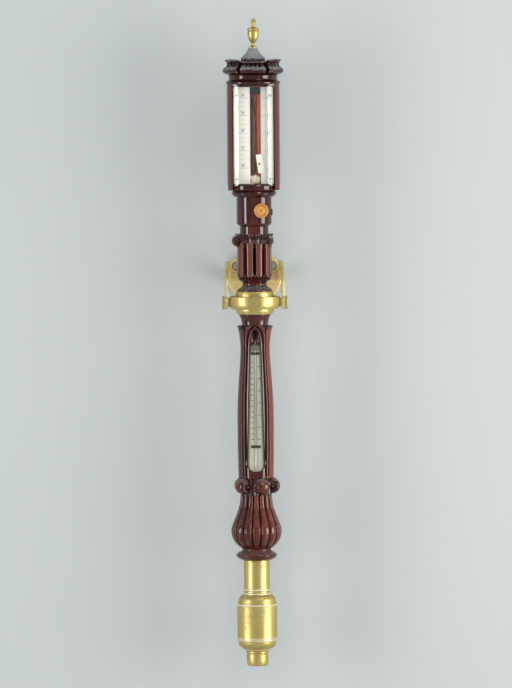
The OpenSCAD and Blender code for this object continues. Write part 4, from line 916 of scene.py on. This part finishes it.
# painted reflection: the mercury is coloured dark red as the wood it mirrors
column.tint(column.noise(120.0), (0.20, 0.09, 0.10), (0.30, 0.16, 0.16))
paint_nodes(column.material, "mercury_column")

# ---- Gadrooned bulb ---------------------------------------
# A turned bulb carved into sixteen lobes that narrow into reeds above, over a plain turned
# flange.


def lobe_cut(angle, radius, height):
    half, foot = 11.25, -357.5                   # half a lobe in degrees, and the lobes' foot
    if radius < 15 or height < foot:
        return radius, height, 0.0
    fade = rise((height - foot) / 7)
    turn = from_middle(angle, half)
    groove = bell(half - abs(turn), 2.1 + 0.9 * clamp((30 - radius) / 8))
    swell = math.cos(turn * math.pi / (2 * half))
    second = bell(abs(turn) - 4.2, 0.8) * rise((radius - 30) / 5) * rise((-325 - height) / 8)
    new_radius = radius + fade * (1.3 * swell - 0.9 - 1.9 * groove - 0.5 * second)
    # painted shade in the grooves, the second grooves and between the lower lobes; a painted highlight
    # on the lobes towards the right
    low = rise((-338 - height) / 14)
    return new_radius, height, fade * ((0.55 + 0.4 * clamp((30 - radius) / 6)) * groove ** 1.6
                                       + 0.25 * second + 0.5 * low * (1 - swell)
                                       - 0.5 * swell * (1 - groove) * rise((angle + 30) / 60))


bulb = turned([(0, -280.32)]
              + curve([(22.4, -280.3), (22.6, -284.0), (24.5, -296.1), (29.5, -310.3), (35.0, -324.5),
                       (36.2, -332.4), (33.6, -343.5), (27.5, -352.2), (21.6, -357.0)], 9)
              + [(21.2, -359.3)]
              + curve([(21.4, -359.9), (24.6, -361.8), (28.2, -364.3), (29.8, -366.3), (29.5, -368.2),
                       (26.8, -371.2), (22.4, -373.8)], 6)
              + [(18.95, -374.5), (18.95, -372.0), (0, -372.0)], segments=288, ease=0)
carve(bulb, lobe_cut)
# its grey film is dust and also a painted grey sheen
bulb_wood = mahogany("bulb_mahogany", dust_and_sheen=0.5, tone=0.95, shown=(0.7, 1.6), film_grey=0.2)
put("gadrooned_bulb", bulb, bulb_wood, instead_of=["base_bulb"], smooth=45)

# ---- Brass sleeve and cistern case ------------------------
# A drawn tube under the flange, a spun shell with a bead at its shoulder, a turned base, and
# the knob of the portable screw. The screws that hold the sleeve are hidden in the wood.


def rub_beads(bm, *beads):
    """Paints a highlight on raised beads, as brass rubbed pale. Each is (height, width, how much)."""
    carve(bm, lambda angle, radius, height: (
        radius, height, -sum(much * bell(height - at, width) for at, width, much in beads)))


sleeve = turned([(16.9, -360.6), (18.9, -360.6), (18.9, -415.4), (19.1, -415.9), (19.5, -416.6),
                 (19.5, -417.7), (19.1, -418.4), (18.9, -418.9), (18.9, -421.0), (19.5, -421.6),
                 (20.2, -422.4), (20.3, -423.8), (18.1, -423.8), (18.1, -429.8), (15.4, -429.8)],
                ring=True, ease=0.12)
rub_beads(sleeve, (-417.2, 0.8, 1), (-423.0, 0.9, 1))
put("sleeve", sleeve, polished_brass, instead_of=["brass_sleeve"])
paint_nodes(aged_brass, "sleeve_screws")
shell = turned([(26.9, -489.0), (28.9, -489.0), (29.0, -487.6), (29.0, -485.8), (29.0, -475.0),
                (29.2, -440.5), (29.3, -440.0), (29.7, -439.6), (29.7, -438.4), (29.3, -437.9),
                (28.4, -437.4), (28.4, -436.2)]
               + curve([(27.9, -435.0), (26.6, -430.0), (24.0, -426.2), (20.7, -424.2)], 8)
               + [(20.7, -423.92), (18.14, -423.92), (18.14, -427.4), (20.9, -427.4), (20.9, -436.0),
                  (26.9, -436.0)], ring=True, ease=0.15, segments=128)
rub_beads(shell, (-439.0, 0.9, 1), (-488.2, 0.7, 1))
put("shell", shell, polished_brass, instead_of=["cistern_shell"])
base = turned([(4.1, -506.5), (17.6, -506.5), (18.4, -504.6)]
              + curve([(20.6, -503.4), (24.6, -500.4), (26.8, -497.0), (27.6, -493.8)], 7)
              + [(27.6, -491.8), (28.5, -491.0), (28.5, -489.12), (26.85, -489.12), (26.85, -483.1),
                 (21.7, -483.1), (21.7, -496.5), (4.1, -496.5)], ring=True, ease=0.2, segments=128)
rub_beads(base, (-490.2, 0.9, 1), (-505.0, 0.7, 0.7))
put("base", base, polished_brass, instead_of=["cistern_base"])
foot = turned([(0, -528.2), (13.2, -528.2), (14.8, -527.2), (15.4, -525.4), (16.0, -512.3),
               (15.3, -511.6), (15.3, -510.3), (16.2, -509.6), (16.2, -507.4), (15.7, -506.72),
               (0, -506.72)], segments=112)
put("portable_screw_knob", foot, polished_brass, "screw", ["bottom_knob"])
paint_nodes(aged_brass, "portable_screw")

# ---- Inside the cistern -----------------------------------
# A turned boxwood cistern with a lid, its mercury, a bottom of kid leather, and the pad that
# presses the leather up when the barometer is carried.
boxwood = Finish("boxwood", Roughness=0.45)
year = boxwood.node("TexWave", {"wave_type": "RINGS", "rings_direction": "Z"},
                    {"Vector": boxwood.place, "Scale": 160.0, "Distortion": 3.0, "Detail": 2.0})
boxwood.tint(year, (0.62, 0.44, 0.20), (0.72, 0.55, 0.29))
paint_nodes(boxwood.material, "cistern_lid", "cistern_body", "pressure_pad")
kid = Finish("kid_leather", Roughness=0.7)
crease = kid.node("TexVoronoi", {}, {"Vector": kid.place, "Scale": 900.0})
kid.tint(crease, (0.62, 0.48, 0.33), (0.45, 0.32, 0.20))
kid.bump(0.4, 0.0002, crease)
leather = turned([(0, -482.9)] + curve([(14, -483.0), (21, -483.0), (25.2, -482.9)], 5)
                 + [(25.2, -482.0)] + curve([(21, -481.95), (14, -481.95)], 5) + [(0, -481.95)],
                 ease=0.1)
put("leather_bottom", leather, kid.material, instead_of=["cistern_leather"])
